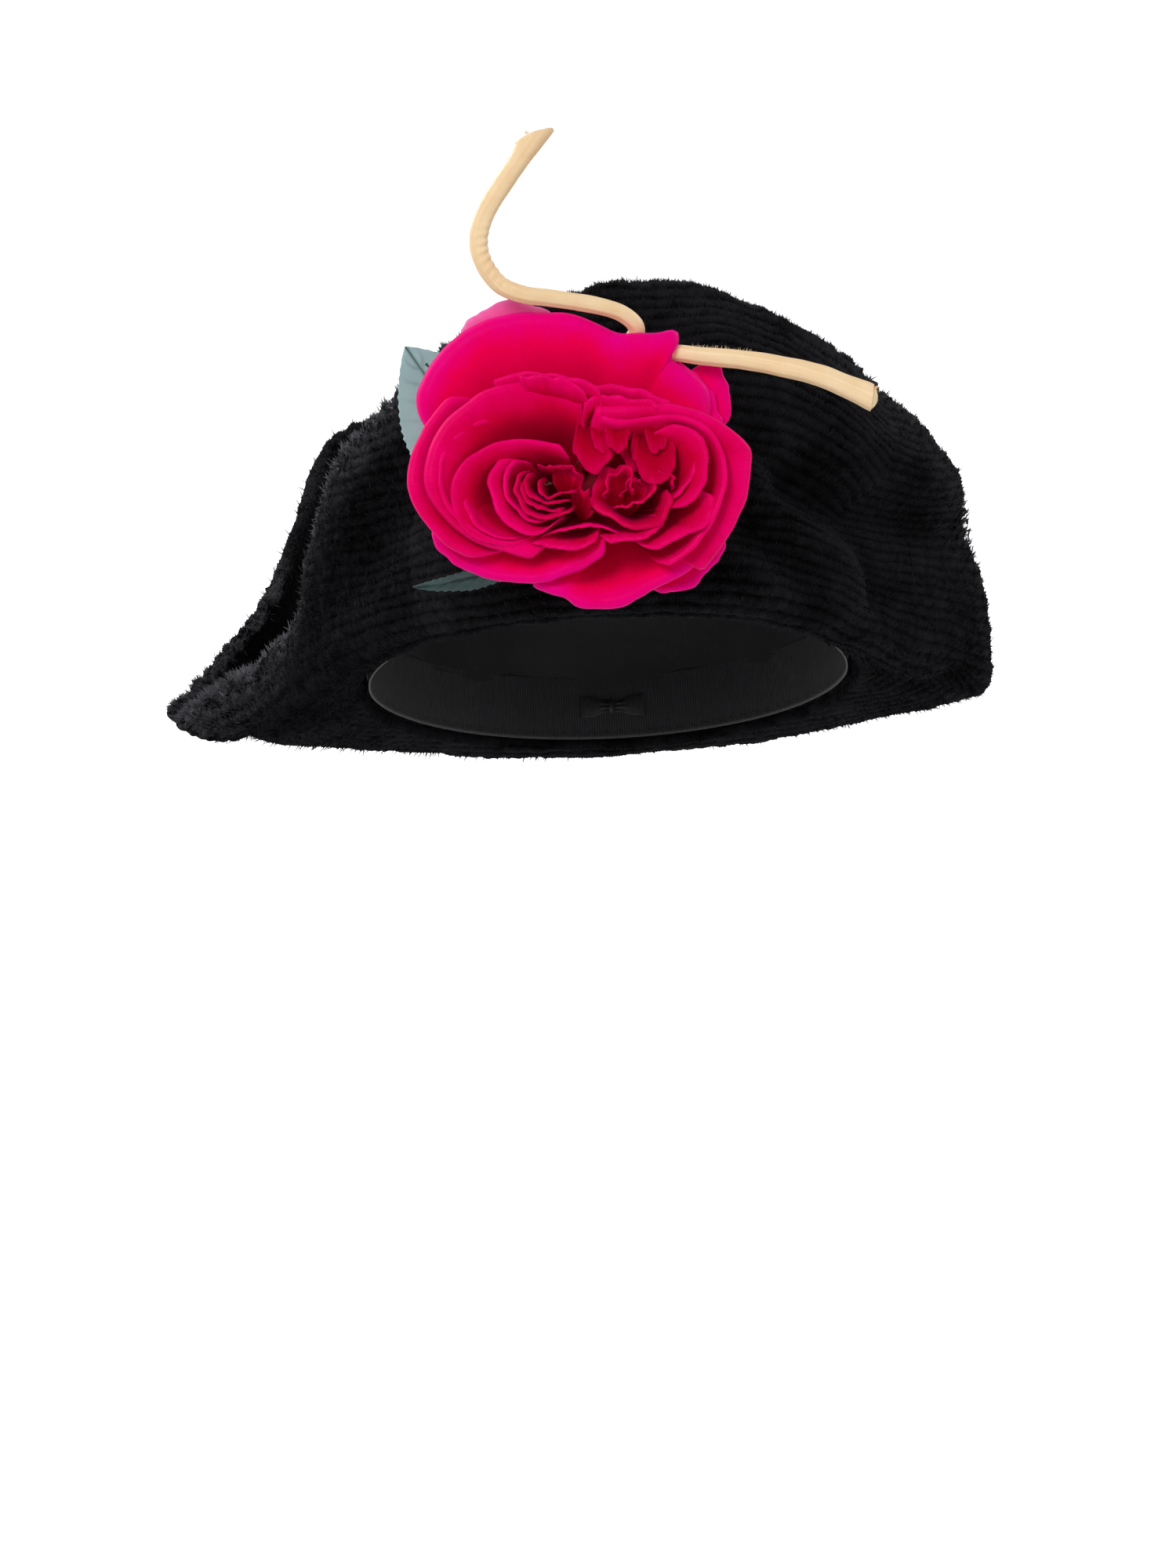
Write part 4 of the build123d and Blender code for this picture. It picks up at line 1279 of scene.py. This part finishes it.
# %% The leaf finish and the leaf maker
def leaf_finish(name, face_colour, edge_colour, vein_colour):
    finish = Finish(name)
    vein = finish.attribute("vein")
    weave = finish.node("ShaderNodeTexWave", {"bands_direction": "X"}, {"Scale": 700.0, "Distortion": 1.0})
    cross = finish.node("ShaderNodeTexWave", {"bands_direction": "Z"}, {"Scale": 700.0, "Distortion": 1.0})
    cloth = (weave + cross) * 0.5
    wash = finish.cloudy(0.009, 4)
    base = finish.blend((wash * 1.3 - 0.2).clamp(), face_colour, edge_colour)
    veined = finish.blend(vein.clamp(), base, vein_colour)
    woven = finish.blend(cloth * 0.12, veined, vein_colour)
    return finish.surface(
        Base_Color=woven, Roughness=0.7, Sheen_Weight=0.1, Normal=finish.bump(cloth, 0.00015, 0.7)
    )


pale_leaf = leaf_finish("pale_leaf_cloth", (0.52, 0.74, 0.76), (0.38, 0.6, 0.62), (0.07, 0.17, 0.15))
dark_leaf = leaf_finish("dark_leaf_cloth", (0.008, 0.032, 0.03), (0.06, 0.14, 0.14), (0.005, 0.02, 0.018))


def leaf_piece(name, node, foot, point, half_width, turn, depth, fold, curl, material):
    """A toothed leaf from foot to point, creased along its midrib."""
    start, end = on_rose(*foot, depth), on_rose(*point, depth)
    along_leaf = end - start
    length = along_leaf.length
    along_leaf.normalize()
    upright = Matrix.Rotation(radians(turn), 3, along_leaf) @ rose_out
    upright = (upright - along_leaf * upright.dot(along_leaf)).normalized()
    across_leaf = upright.cross(along_leaf)
    shape = bmesh.new()
    shape.verts.layers.float.new("vein")
    columns, rows = 120, 32
    bmesh.ops.create_grid(shape, x_segments=columns, y_segments=rows, size=1)
    vein_layer = shape.verts.layers.float["vein"]
    for vert in shape.verts:
        share, side = (vert.co.x + 1) / 2, vert.co.y
        outline = sin(pi * share ** 0.82) ** 0.85 if 0 < share < 1 else 0.0
        tooth = abs((share * length / 2.3) % 1 - 0.25) * 0.8 * min(1.0, outline * 2)
        width = half_width * outline + tooth
        offset = side * width
        slant = abs(side) * 0.16
        rib = exp(-((((share - slant) * 9) % 1 - 0.5) / 0.11) ** 2) * smoothly(1.1 - abs(side))
        mid = exp(-(offset / 0.45) ** 2)
        lift = fold * abs(offset) / half_width + curl * (offset / half_width) ** 2
        lift += 0.28 * rib - 0.35 * mid + 0.5 * noise.noise(Vector((share * 5, side * 1.5, turn)))
        bend = 2.2 * sin(pi * share) - 1.5 * share
        spot = start + along_leaf * (length * share) + across_leaf * offset
        vert.co = spot + upright * (0.75 + lift + bend)
        vert[vein_layer] = max(mid, 0.35 * rib)
    piece = finish_piece(shape, name, (node,), material, weld=0.002)
    cloth = piece.modifiers.new("cloth thickness", "SOLIDIFY")
    cloth.thickness = 0.35 * MM
    cloth.offset = 0
    return piece


leaf_piece("left_leaf", "leaf_left", (-24, 2), (-51.5, 47), 16.5, 0, 3.6, 0.5, -1.5, pale_leaf)
leaf_piece(
    "lower_leaf", "leaf_lower", (-15.2, -15.5), (-52, -25.2), 4.4, -60, 4.2, 1.5, -0.5, dark_leaf
)


def wire_finish():
    finish = Finish("papered_wire")
    turns = finish.node("ShaderNodeTexWave", {"bands_direction": "DIAGONAL"}, {"Scale": 260.0})
    colour = finish.blend(turns * 0.6 + finish.cloudy(0.002) * 0.4, (0.05, 0.14, 0.08), (0.14, 0.28, 0.18))
    return finish.surface(Base_Color=colour, Roughness=0.75, Normal=finish.bump(turns, 0.0002))


papered_wire = wire_finish()
for wire_name in ("leaf_left_wire", "leaf_lower_wire"):
    for material_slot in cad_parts[wire_name].material_slots:
        material_slot.material = papered_wire

# %% [markdown]
# ## Two stripped quills
# The pale stems are the shafts of two large feathers with their barbs stripped off, one of them
# steamed into a curl. A stripped shaft isn't a plain tube: one side keeps a shallow groove, the skin
# wrinkles where it was bent, and its cut end shows dry white pith inside a thin wall. Each shaft is
# a grid wrapped round its route, with the last rows folded in to make the cut.

# %% The quill finish
def quill_finish():
    finish = Finish("stripped_quill")
    lay = finish.attribute("lay", "Vector")
    pith = finish.attribute("pile")
    streaks = finish.cloudy(1, 4, 0.6, finish.stretched((0.05, 3.2, 1.0), lay))
    stains = finish.cloudy(0.012, 4, 0.6)
    skin = finish.node(
        "ShaderNodeValToRGB",
        {"stops": [(0.2, (0.55, 0.3, 0.11)), (0.46, (0.86, 0.6, 0.33)), (0.8, (0.93, 0.76, 0.5))]},
        {"Fac": (streaks * 0.55 + stains * 0.5).clamp()},
    )
    crumbs = finish.cloudy(0.0008, 4, 0.7)
    dry = finish.blend(crumbs, (0.80, 0.55, 0.28), (0.93, 0.78, 0.52))
    colour = finish.blend(pith, skin, dry)
    relief = streaks * 0.6 + crumbs * pith
    return finish.surface(
        Base_Color=colour, Roughness=0.42 + pith * 0.45, Coat_Weight=0.08, Coat_Roughness=0.3,
        Normal=finish.bump(relief, 0.00025, 0.7),
    )


stripped_quill = quill_finish()
layer_gap = 0.2
felt_thickness = 1.5
tape_thickness = 0.7
quill_clearance = 0.6
curled_foot_radius = 2.3
foot_depth = layer_gap + felt_thickness + layer_gap + tape_thickness + quill_clearance + curled_foot_radius
curled_route = [
    (-9.3, 96.8, 40), (-16.9, 87.8, 36), (-24.6, 77.5, 32.5), (-27, 69.8, 30), (-25.7, 63.5, 28),
    (-21.5, 58, 26), (-15.1, 55.2, 24.5), (-7.6, 54.2, 22.5), (5.3, 51.9, 20), (13, 49.4, 17.5),
    (16.5, 45.5, 14.5), (13.4, 40.5, 10.5), (11, 35, 6.9), (10.3, 30, foot_depth), (10.3, 21, foot_depth),
]
straight_route = [
    (82.8, 19.6, 24), (69.3, 26.6, 23), (56.5, 31, 21), (45.5, 33.9, 19), (35, 36, 16.5),
    (26.5, 38, 13.8), (20.8, 37.2, 10.8), (16.8, 33.8, 7.2), (15.7, 30, foot_depth), (15.7, 21, foot_depth),
]


def quill_piece(name, node, route, tip_radius, foot_radius, cut_slant, flare, bend_at, cut_depth):
    """A stripped feather shaft with a slanted, pithy cut end."""
    steps, sides = 420, 40
    cut_rows, foot_rows = 7, 2
    shape, table = grid_piece(sides, steps + cut_rows + foot_rows)
    lay = shape.verts.layers.float_vector["lay"]
    pith = shape.verts.layers.float["pile"]
    points = [on_rose(*spot) for spot in route]
    places = even_places(lambda place: Vector(along_rows(points, place)), 0, len(points) - 1, steps)
    line = [Vector(along_rows(points, place)) for place in places]
    run = 0.0
    side = None
    cut_scale = (0.0, 0.3, 0.6, 0.82, 0.84, 0.9, 1.0)
    for step in range(steps + 1):
        ahead = (line[max(0, step - 1)] - line[min(steps, step + 1)]).normalized()
        side = (side - ahead * side.dot(ahead)).normalized() if side else ahead.cross(rose_out).normalized()
        across = ahead.cross(side)
        run += (line[step] - line[step - 1]).length if step else 0.0
        share = step / steps
        radius = foot_radius + (tip_radius - foot_radius) * (1 - share)
        radius *= 1 + flare * exp(-((run / 5) ** 2))
        bent = exp(-(((share - bend_at) / 0.09) ** 2))
        rows_here = [(step + cut_rows, 1.0, 0.0, 0.0)]
        if step == 0:
            rows_here += [(row, cut_scale[row], cut_depth[row], 1.0) for row in range(cut_rows)]
        if step == steps:
            rows_here += [(steps + cut_rows + 1, 0.8, -0.4, 1.0), (steps + cut_rows + 2, 0.0, -0.4, 1.0)]
        for row, scale, sunk, is_pith in rows_here:
            for corner in range(sides + 1):
                turn = 2 * pi * corner / sides
                groove = 0.16 * exp(-((((turn + share * 2.2) % (2 * pi) - pi) / 0.3) ** 2))
                ridges = 0.03 * sin(turn * 7 + 2 * share) + 0.02 * sin(turn * 11 + 5 * share)
                wrinkle = bent * 0.07 * sin(run * 2.4 + 2 * cos(turn)) * max(0.0, cos(turn + 0.6))
                swell = 0.05 * noise.noise(Vector((cos(turn), sin(turn), run / 6)))
                grown = radius * scale * (1 - groove + ridges + wrinkle + swell)
                spot = line[step] + side * (grown * cos(turn)) + across * (grown * 0.9 * sin(turn))
                near_end = exp(-(run / 3) ** 2)
                slant = cut_slant * grown * cos(turn + 0.4) * near_end
                ragged = 0.35 * noise.noise(Vector((cos(turn) * 3, sin(turn) * 3, 7))) * near_end
                vert = table[corner, row]
                vert.co = spot + ahead * (slant + ragged - sunk * (1 if step == 0 else 0))
                vert[lay] = Vector((run, corner * 0.55, 0))
                vert[pith] = is_pith
    bmesh.ops.remove_doubles(shape, verts=shape.verts, dist=0.003)
    return finish_piece(shape, name, (node,), stripped_quill, weld=0)


hollow_cut = (1.3, 1.1, 1.25, 1.15, 0.15, 0.0, 0.0)
worn_cut = (-1.7, -1.5, -1.0, -0.3, 0.0, 0.1, 0.0)
quill_piece(
    "curled_quill", "quill_curled", curled_route, 2.8, curled_foot_radius, 1.5, 0.3, 0.33, hollow_cut
)
quill_piece(
    "straight_quill", "quill_straight", straight_route, 3.3, 2.1, 0.35, 0.16, 2.0, worn_cut
)

# %% [markdown]
# ## Inside the crown
# The inside shows through the head opening: a black silk lining gathered to a round tip, and a
# ribbed ribbon sweatband with a small bow at the back, where the ribbon's ends meet. The stiff
# foundation between lining and plush stays hidden, but it is woven buckram like the flaps.

# %% Finishes for silk lining and ribbon
def lining_finish():
    finish = Finish("black_lining_silk")
    lay = finish.attribute("lay", "Vector")
    threads = finish.cloudy(1, 3, 0.6, finish.stretched((6.0, 0.3, 1.0), lay))
    sheen = finish.cloudy(0.03, 3)
    shine = (threads * 0.6 + sheen * 0.6 - 0.2).clamp()
    colour = finish.blend(shine, (0.002, 0.002, 0.003), (0.024, 0.023, 0.027))
    return finish.surface(
        Base_Color=colour, Roughness=0.45, Specular_IOR_Level=0.35, Sheen_Weight=0.05,
        Normal=finish.bump(threads, 0.00012, 0.6),
    )


def ribbon_finish():
    finish = Finish("black_ribbon")
    lay = finish.attribute("lay", "Vector")
    cords = finish.node("ShaderNodeTexWave", {"bands_direction": "X"}, {"Vector": lay, "Scale": 0.42})
    wear = finish.cloudy(0.004, 3)
    colour = finish.blend((cords * 0.7 + wear * 0.4).clamp(), (0.002, 0.002, 0.0025), (0.03, 0.029, 0.033))
    return finish.surface(
        Base_Color=colour, Roughness=0.5, Specular_IOR_Level=0.4, Sheen_Weight=0.04,
        Normal=finish.bump(cords, 0.00025, 0.8),
    )


black_lining_silk = lining_finish()
black_ribbon = ribbon_finish()


def close_rim(shape, table, columns, last_row):
    """Join the first and the last row of a grid that was folded back on itself."""
    for column in range(columns):
        near, far = (column, 0), (column, last_row)
        corners = (near, far, (column + 1, last_row), (column + 1, 0))
        shape.faces.new([table[corner] for corner in corners])


def shell_piece(name, node, material, columns, rows, place):
    """A thin closed shell round the head: `place(turn, share, inner)` gives its points."""
    shape, table = grid_piece(columns, 2 * rows + 1)
    lay = shape.verts.layers.float_vector["lay"]
    for (column, row), vert in table.items():
        turn = 360 * column / columns
        inner = row > rows
        share = (2 * rows + 1 - row if inner else row) / rows
        vert.co = place(turn, share, inner)
        vert[lay] = Vector((column * 1.5, share * 60, 0))
    close_rim(shape, table, columns, 2 * rows + 1)
    return finish_piece(shape, name, (node,), material)


# %% Lining, sweatband and foundation
lining_foot = climb_at(4, 0.9)
lining_seam = climb_at(60, 0.9)
foundation_foot = climb_at(9, 1.7)
gathers = 56


def lining_side_place(turn, share, inner):
    climb = lining_foot + (lining_seam - lining_foot) * share
    pleat = 0.10 * sin(radians(turn) * gathers) * share ** 2
    slack = 0.12 * noise.noise(Vector((cos(radians(turn)) * 3, sin(radians(turn)) * 3, share * 2)))
    return dome_point(turn, climb, (0.72 if inner else 1.08) + pleat * 0.6 + slack * 0.5)


def lining_tip_place(turn, share, inner):
    climb = lining_seam + (top_climb - lining_seam) * share
    rest = 1 - share
    pleat = 0.22 * sin(radians(turn) * gathers + 2 * sin(radians(turn) * 5)) * rest ** 3
    seam = 0.5 * exp(-((share / 0.02) ** 2))
    return dome_point(turn, climb, (0.7 if inner else 1.1) + pleat - seam)


def sweatband_place(turn, share, inner):
    height = 22 * share
    wave = 0.08 * sin(radians(turn) * 9) + 0.05 * sin(radians(turn) * 23 + share * 2)
    thin = 0.0 if inner else 0.5
    edge = 0.12 * (exp(-(((share - 0.04) / 0.02) ** 2)) + exp(-(((share - 0.96) / 0.02) ** 2)))
    spot = hat_right * ((head_half_width + thin + wave - edge) * cos(radians(turn)))
    spot += hat_back * ((head_half_length + thin + wave - edge) * sin(radians(turn)))
    return spot + hat_up * height


def foundation_place(turn, share, inner):
    climb = foundation_foot + (top_climb - foundation_foot) * share
    return dome_point(turn, climb, 1.35 if inner else 2.05)


shell_piece(
    "lining_side", "lining_side", black_lining_silk, 320, 26, lining_side_place
)
shell_piece(
    "lining_tip", "lining_tip", black_lining_silk, 320, 36, lining_tip_place
)
shell_piece("sweatband", "sweatband", black_ribbon, 280, 24, sweatband_place)
shell_piece(
    "foundation", "crown_foundation", buckram, 120, 32, foundation_place
)

# %% [markdown]
# ## The sweatband's stitches and bow
# The band is sewn in with short slanted stitches near its lower edge, and its ends are hidden under
# a flat bow with a wrapped knot. A bow's loops are widest near their ends and pinched at the knot.

# %% Stitches and bow
stitches = bmesh.new()
stitch_count = 96
for number in range(stitch_count):
    turn = 360 * (number + 0.5) / stitch_count
    ends = []
    for step, height in ((-1.3, 1.6), (0, 1.9), (1.3, 2.2)):
        angle = radians(turn + step * 0.62)
        sunk = 0.28 if step == 0 else 0.05
        spot = hat_right * ((head_half_width - sunk) * cos(angle))
        spot += hat_back * ((head_half_length - sunk) * sin(angle))
        ends.append(spot + hat_up * height)
    tube_along(stitches, ends, (0.12, 0.16, 0.12), 6)
finish_piece(stitches, "band_stitches", (), waxed_thread, weld=0)


def bow_piece(name, node):
    """Two flat loops and a knot, sewn flat on the back of the sweatband."""
    columns, rows = 96, 20
    half_length = 11
    shape, table = grid_piece(columns, 2 * rows + 1)
    lay = shape.verts.layers.float_vector["lay"]
    for (column, row), vert in table.items():
        across = (column / columns * 2 - 1) * half_length
        inner = row > rows
        share = (2 * rows + 1 - row if inner else row) / rows * 2 - 1
        spread = abs(across) / half_length
        half_height = 1.9 + 1.6 * smoothly((spread - 0.12) / 0.6)
        pucker = 0.16 * sin(share * 9) * exp(-(((spread - 0.2) / 0.2) ** 2))
        puff = 0.55 * sin(pi * min(1, spread)) ** 0.7 * (1 - share * share)
        angle = pi / 2 - across / head_half_width
        depth = -0.25 if not inner else -0.55 - puff + pucker
        spot = hat_right * ((head_half_width + depth) * cos(angle))
        spot += hat_back * ((head_half_length + depth) * sin(angle))
        vert.co = spot + hat_up * (11 + half_height * share)
        vert[lay] = Vector((across * 1.5, share * 8, 0))
    close_rim(shape, table, columns, 2 * rows + 1)
    for side_column in (0, columns):
        for row in range(rows):
            corner_rows = (row, row + 1, 2 * rows - row, 2 * rows + 1 - row)
            shape.faces.new([table[side_column, corner_row] for corner_row in corner_rows])
    back = hat_back * (head_half_length - 0.9)
    knot = []
    for step in (-1, -0.5, 0, 0.5, 1):
        knot.append(back + hat_up * (11 + step * 2.3) - hat_back * (0.55 * cos(step * pi / 2)))
    tube_along(shape, knot, (1.0, 1.5, 1.55, 1.5, 1.0), 24, 0.35)
    return finish_piece(shape, name, (node,), black_ribbon, weld=0)


bow_piece("sweatband_bow", "sweatband_bow")

# %% [markdown]
# ## Binding, barbs and split fibres
# The feet of the quills are bound to the base with floral tape, wound in overlapping turns. A
# stripped shaft never gets quite clean: stubs of barbs stay along its edge, and its cut end splits
# into short fibres.

# %% Tape binding
def tape_finish():
    finish = Finish("floral_tape")
    crinkle = finish.cloudy(0.0012, 4, 0.65)
    colour = finish.blend(crinkle, (0.03, 0.09, 0.035), (0.12, 0.24, 0.11))
    return finish.surface(Base_Color=colour, Roughness=0.7, Normal=finish.bump(crinkle, 0.0002, 0.8))


floral_tape = tape_finish()
binding = bmesh.new()
binding_turns = 4
ring_steps = 72
for ring in range(binding_turns):
    route = []
    for step in range(ring_steps):
        angle = 2 * pi * step / ring_steps
        side = 2.7 if cos(angle) > 0 else -2.7
        reach = 3.1
        x = 13 + side * min(1, abs(cos(angle)) * 6) + reach * cos(angle)
        z = foot_depth + reach * sin(angle)
        y = 19.9 + ring * 1.05 + 0.25 * sin(angle + ring)
        route.append(on_rose(x, y, z))
    route.append(route[0])
    tube_along(binding, route, [0.42] * len(route), 8, 1.0)
finish_piece(binding, "stem_binding", ("stem_binding",), floral_tape, weld=0)

# %% Barb stubs and split fibres
fibres = bmesh.new()
fibre_chance = random.Random(8)


def spike(shape, foot, direction, length, width):
    """One tapering fibre of six faces."""
    tube_along(shape, [foot, foot + direction * length], (width, width * 0.25), 3)


straight_points = [on_rose(*spot) for spot in straight_route]
barb_stubs = 90
for number in range(barb_stubs):
    place = 2.6 + 1.7 * number / barb_stubs + fibre_chance.uniform(-0.02, 0.02)
    foot = Vector(along_rows(straight_points, place)) + rose_up * 2.2
    lean = rose_up + rose_right * fibre_chance.uniform(-0.2, 0.7) + rose_out * fibre_chance.uniform(-0.3, 0.5)
    spike(fibres, foot, lean.normalized(), fibre_chance.uniform(0.4, 1.5), 0.07)
curled_points = [on_rose(*spot) for spot in curled_route]
for points, radius, count, spread in ((straight_points, 3.2, 70, 0.9), (curled_points, 2.8, 60, 0.7)):
    ahead = (points[0] - points[1]).normalized()
    side = ahead.cross(rose_out).normalized()
    across = ahead.cross(side)
    for number in range(count):
        turn = 2 * pi * number / count
        foot = points[0] + side * (radius * cos(turn)) + across * (radius * 0.9 * sin(turn)) - ahead * 0.4
        lean = ahead + (side * cos(turn) + across * sin(turn)) * fibre_chance.uniform(0.1, spread)
        spike(fibres, foot, lean.normalized(), fibre_chance.uniform(0.5, 1.4), 0.09)
finish_piece(fibres, "quill_fibres", (), stripped_quill, weld=0)

# %% [markdown]
# ## Floor, light and camera
# A plain white sweep and large soft lamps suit a black object, because its pile only shows by the
# pale surroundings it reflects at its edges. The white behind it is seen by the camera alone.

# %% The stage
def white_stage(name, glow):
    """A matt white finish that looks plain white to the camera and still takes a soft shadow."""
    finish = Finish(name)
    seen = finish.node("ShaderNodeLightPath", output="Is Camera Ray")
    matt = finish.node("ShaderNodeBsdfDiffuse", None, {"Color": (0.8, 0.8, 0.8)})
    light = finish.node("ShaderNodeEmission", None, {"Color": (1, 1, 1), "Strength": glow})
    both = finish.node("ShaderNodeAddShader", None, {0: matt, 1: light})
    mixed = finish.node("ShaderNodeMixShader", None, {0: seen, 1: matt, 2: both})
    finish.node("ShaderNodeOutputMaterial", None, {"Surface": mixed}, None)
    return finish.material


floor_height = -222 * MM
floor_shape = bmesh.new()
bmesh.ops.create_grid(floor_shape, x_segments=1, y_segments=1, size=6)
bmesh.ops.translate(floor_shape, vec=(0, 0, floor_height), verts=floor_shape.verts)
floor_mesh = bpy.data.meshes.new("floor")
floor_shape.to_mesh(floor_mesh)
floor_shape.free()
floor_sheet = bpy.data.objects.new("floor", floor_mesh)
bpy.context.scene.collection.objects.link(floor_sheet)
floor_mesh.materials.append(white_stage("white_floor", 0.68))

world = bpy.data.worlds.new("studio")
bpy.context.scene.world = world
world.use_nodes = True
air = world.node_tree
air.nodes.clear()
rays = air.nodes.new("ShaderNodeLightPath")
soft = air.nodes.new("ShaderNodeBackground")
soft.inputs["Color"].default_value = (1, 1, 1, 1)
soft.inputs["Strength"].default_value = 0.42
plain = air.nodes.new("ShaderNodeBackground")
plain.inputs["Color"].default_value = (1, 1, 1, 1)
plain.inputs["Strength"].default_value = 1.0
chosen = air.nodes.new("ShaderNodeMixShader")
air_out = air.nodes.new("ShaderNodeOutputWorld")
air.links.new(rays.outputs["Is Camera Ray"], chosen.inputs[0])
air.links.new(soft.outputs[0], chosen.inputs[1])
air.links.new(plain.outputs[0], chosen.inputs[2])
air.links.new(chosen.outputs[0], air_out.inputs["Surface"])

# %% Lamps
def softbox(name, place, aim, width, power):
    """A square soft lamp at a place in metres, aimed at a point."""
    lamp = bpy.data.lights.new(name, "AREA")
    lamp.shape = "SQUARE"
    lamp.size = width
    lamp.energy = power
    stand = bpy.data.objects.new(name, lamp)
    stand.location = place
    stand.rotation_euler = (Vector(place) - Vector(aim)).to_track_quat("Z", "Y").to_euler()
    bpy.context.scene.collection.objects.link(stand)


softbox("key_lamp", (-0.9, -1.3, 1.5), (0, 0, 0.02), 0.9, 22)
softbox("fill_lamp", (1.3, -1.2, 0.6), (0, 0, 0.02), 1.0, 6)
softbox("left_rim_lamp", (-1.3, 0.9, 0.7), (0, 0, 0.02), 0.8, 16)
softbox("right_rim_lamp", (1.3, 0.9, 0.8), (0, 0, 0.02), 0.8, 8)

# %% Camera
camera_data = bpy.data.cameras.new("camera")
camera_data.lens = 90
camera_data.sensor_width = 36
camera_data.sensor_fit = "AUTO"
camera = bpy.data.objects.new("camera", camera_data)
camera.location = (-0.0065, -1.198, 0.366)
camera.rotation_euler = (radians(90 - 18.5), 0, 0)
bpy.context.scene.collection.objects.link(camera)
bpy.context.scene.camera = camera
bpy.context.scene.view_settings.view_transform = "Standard"
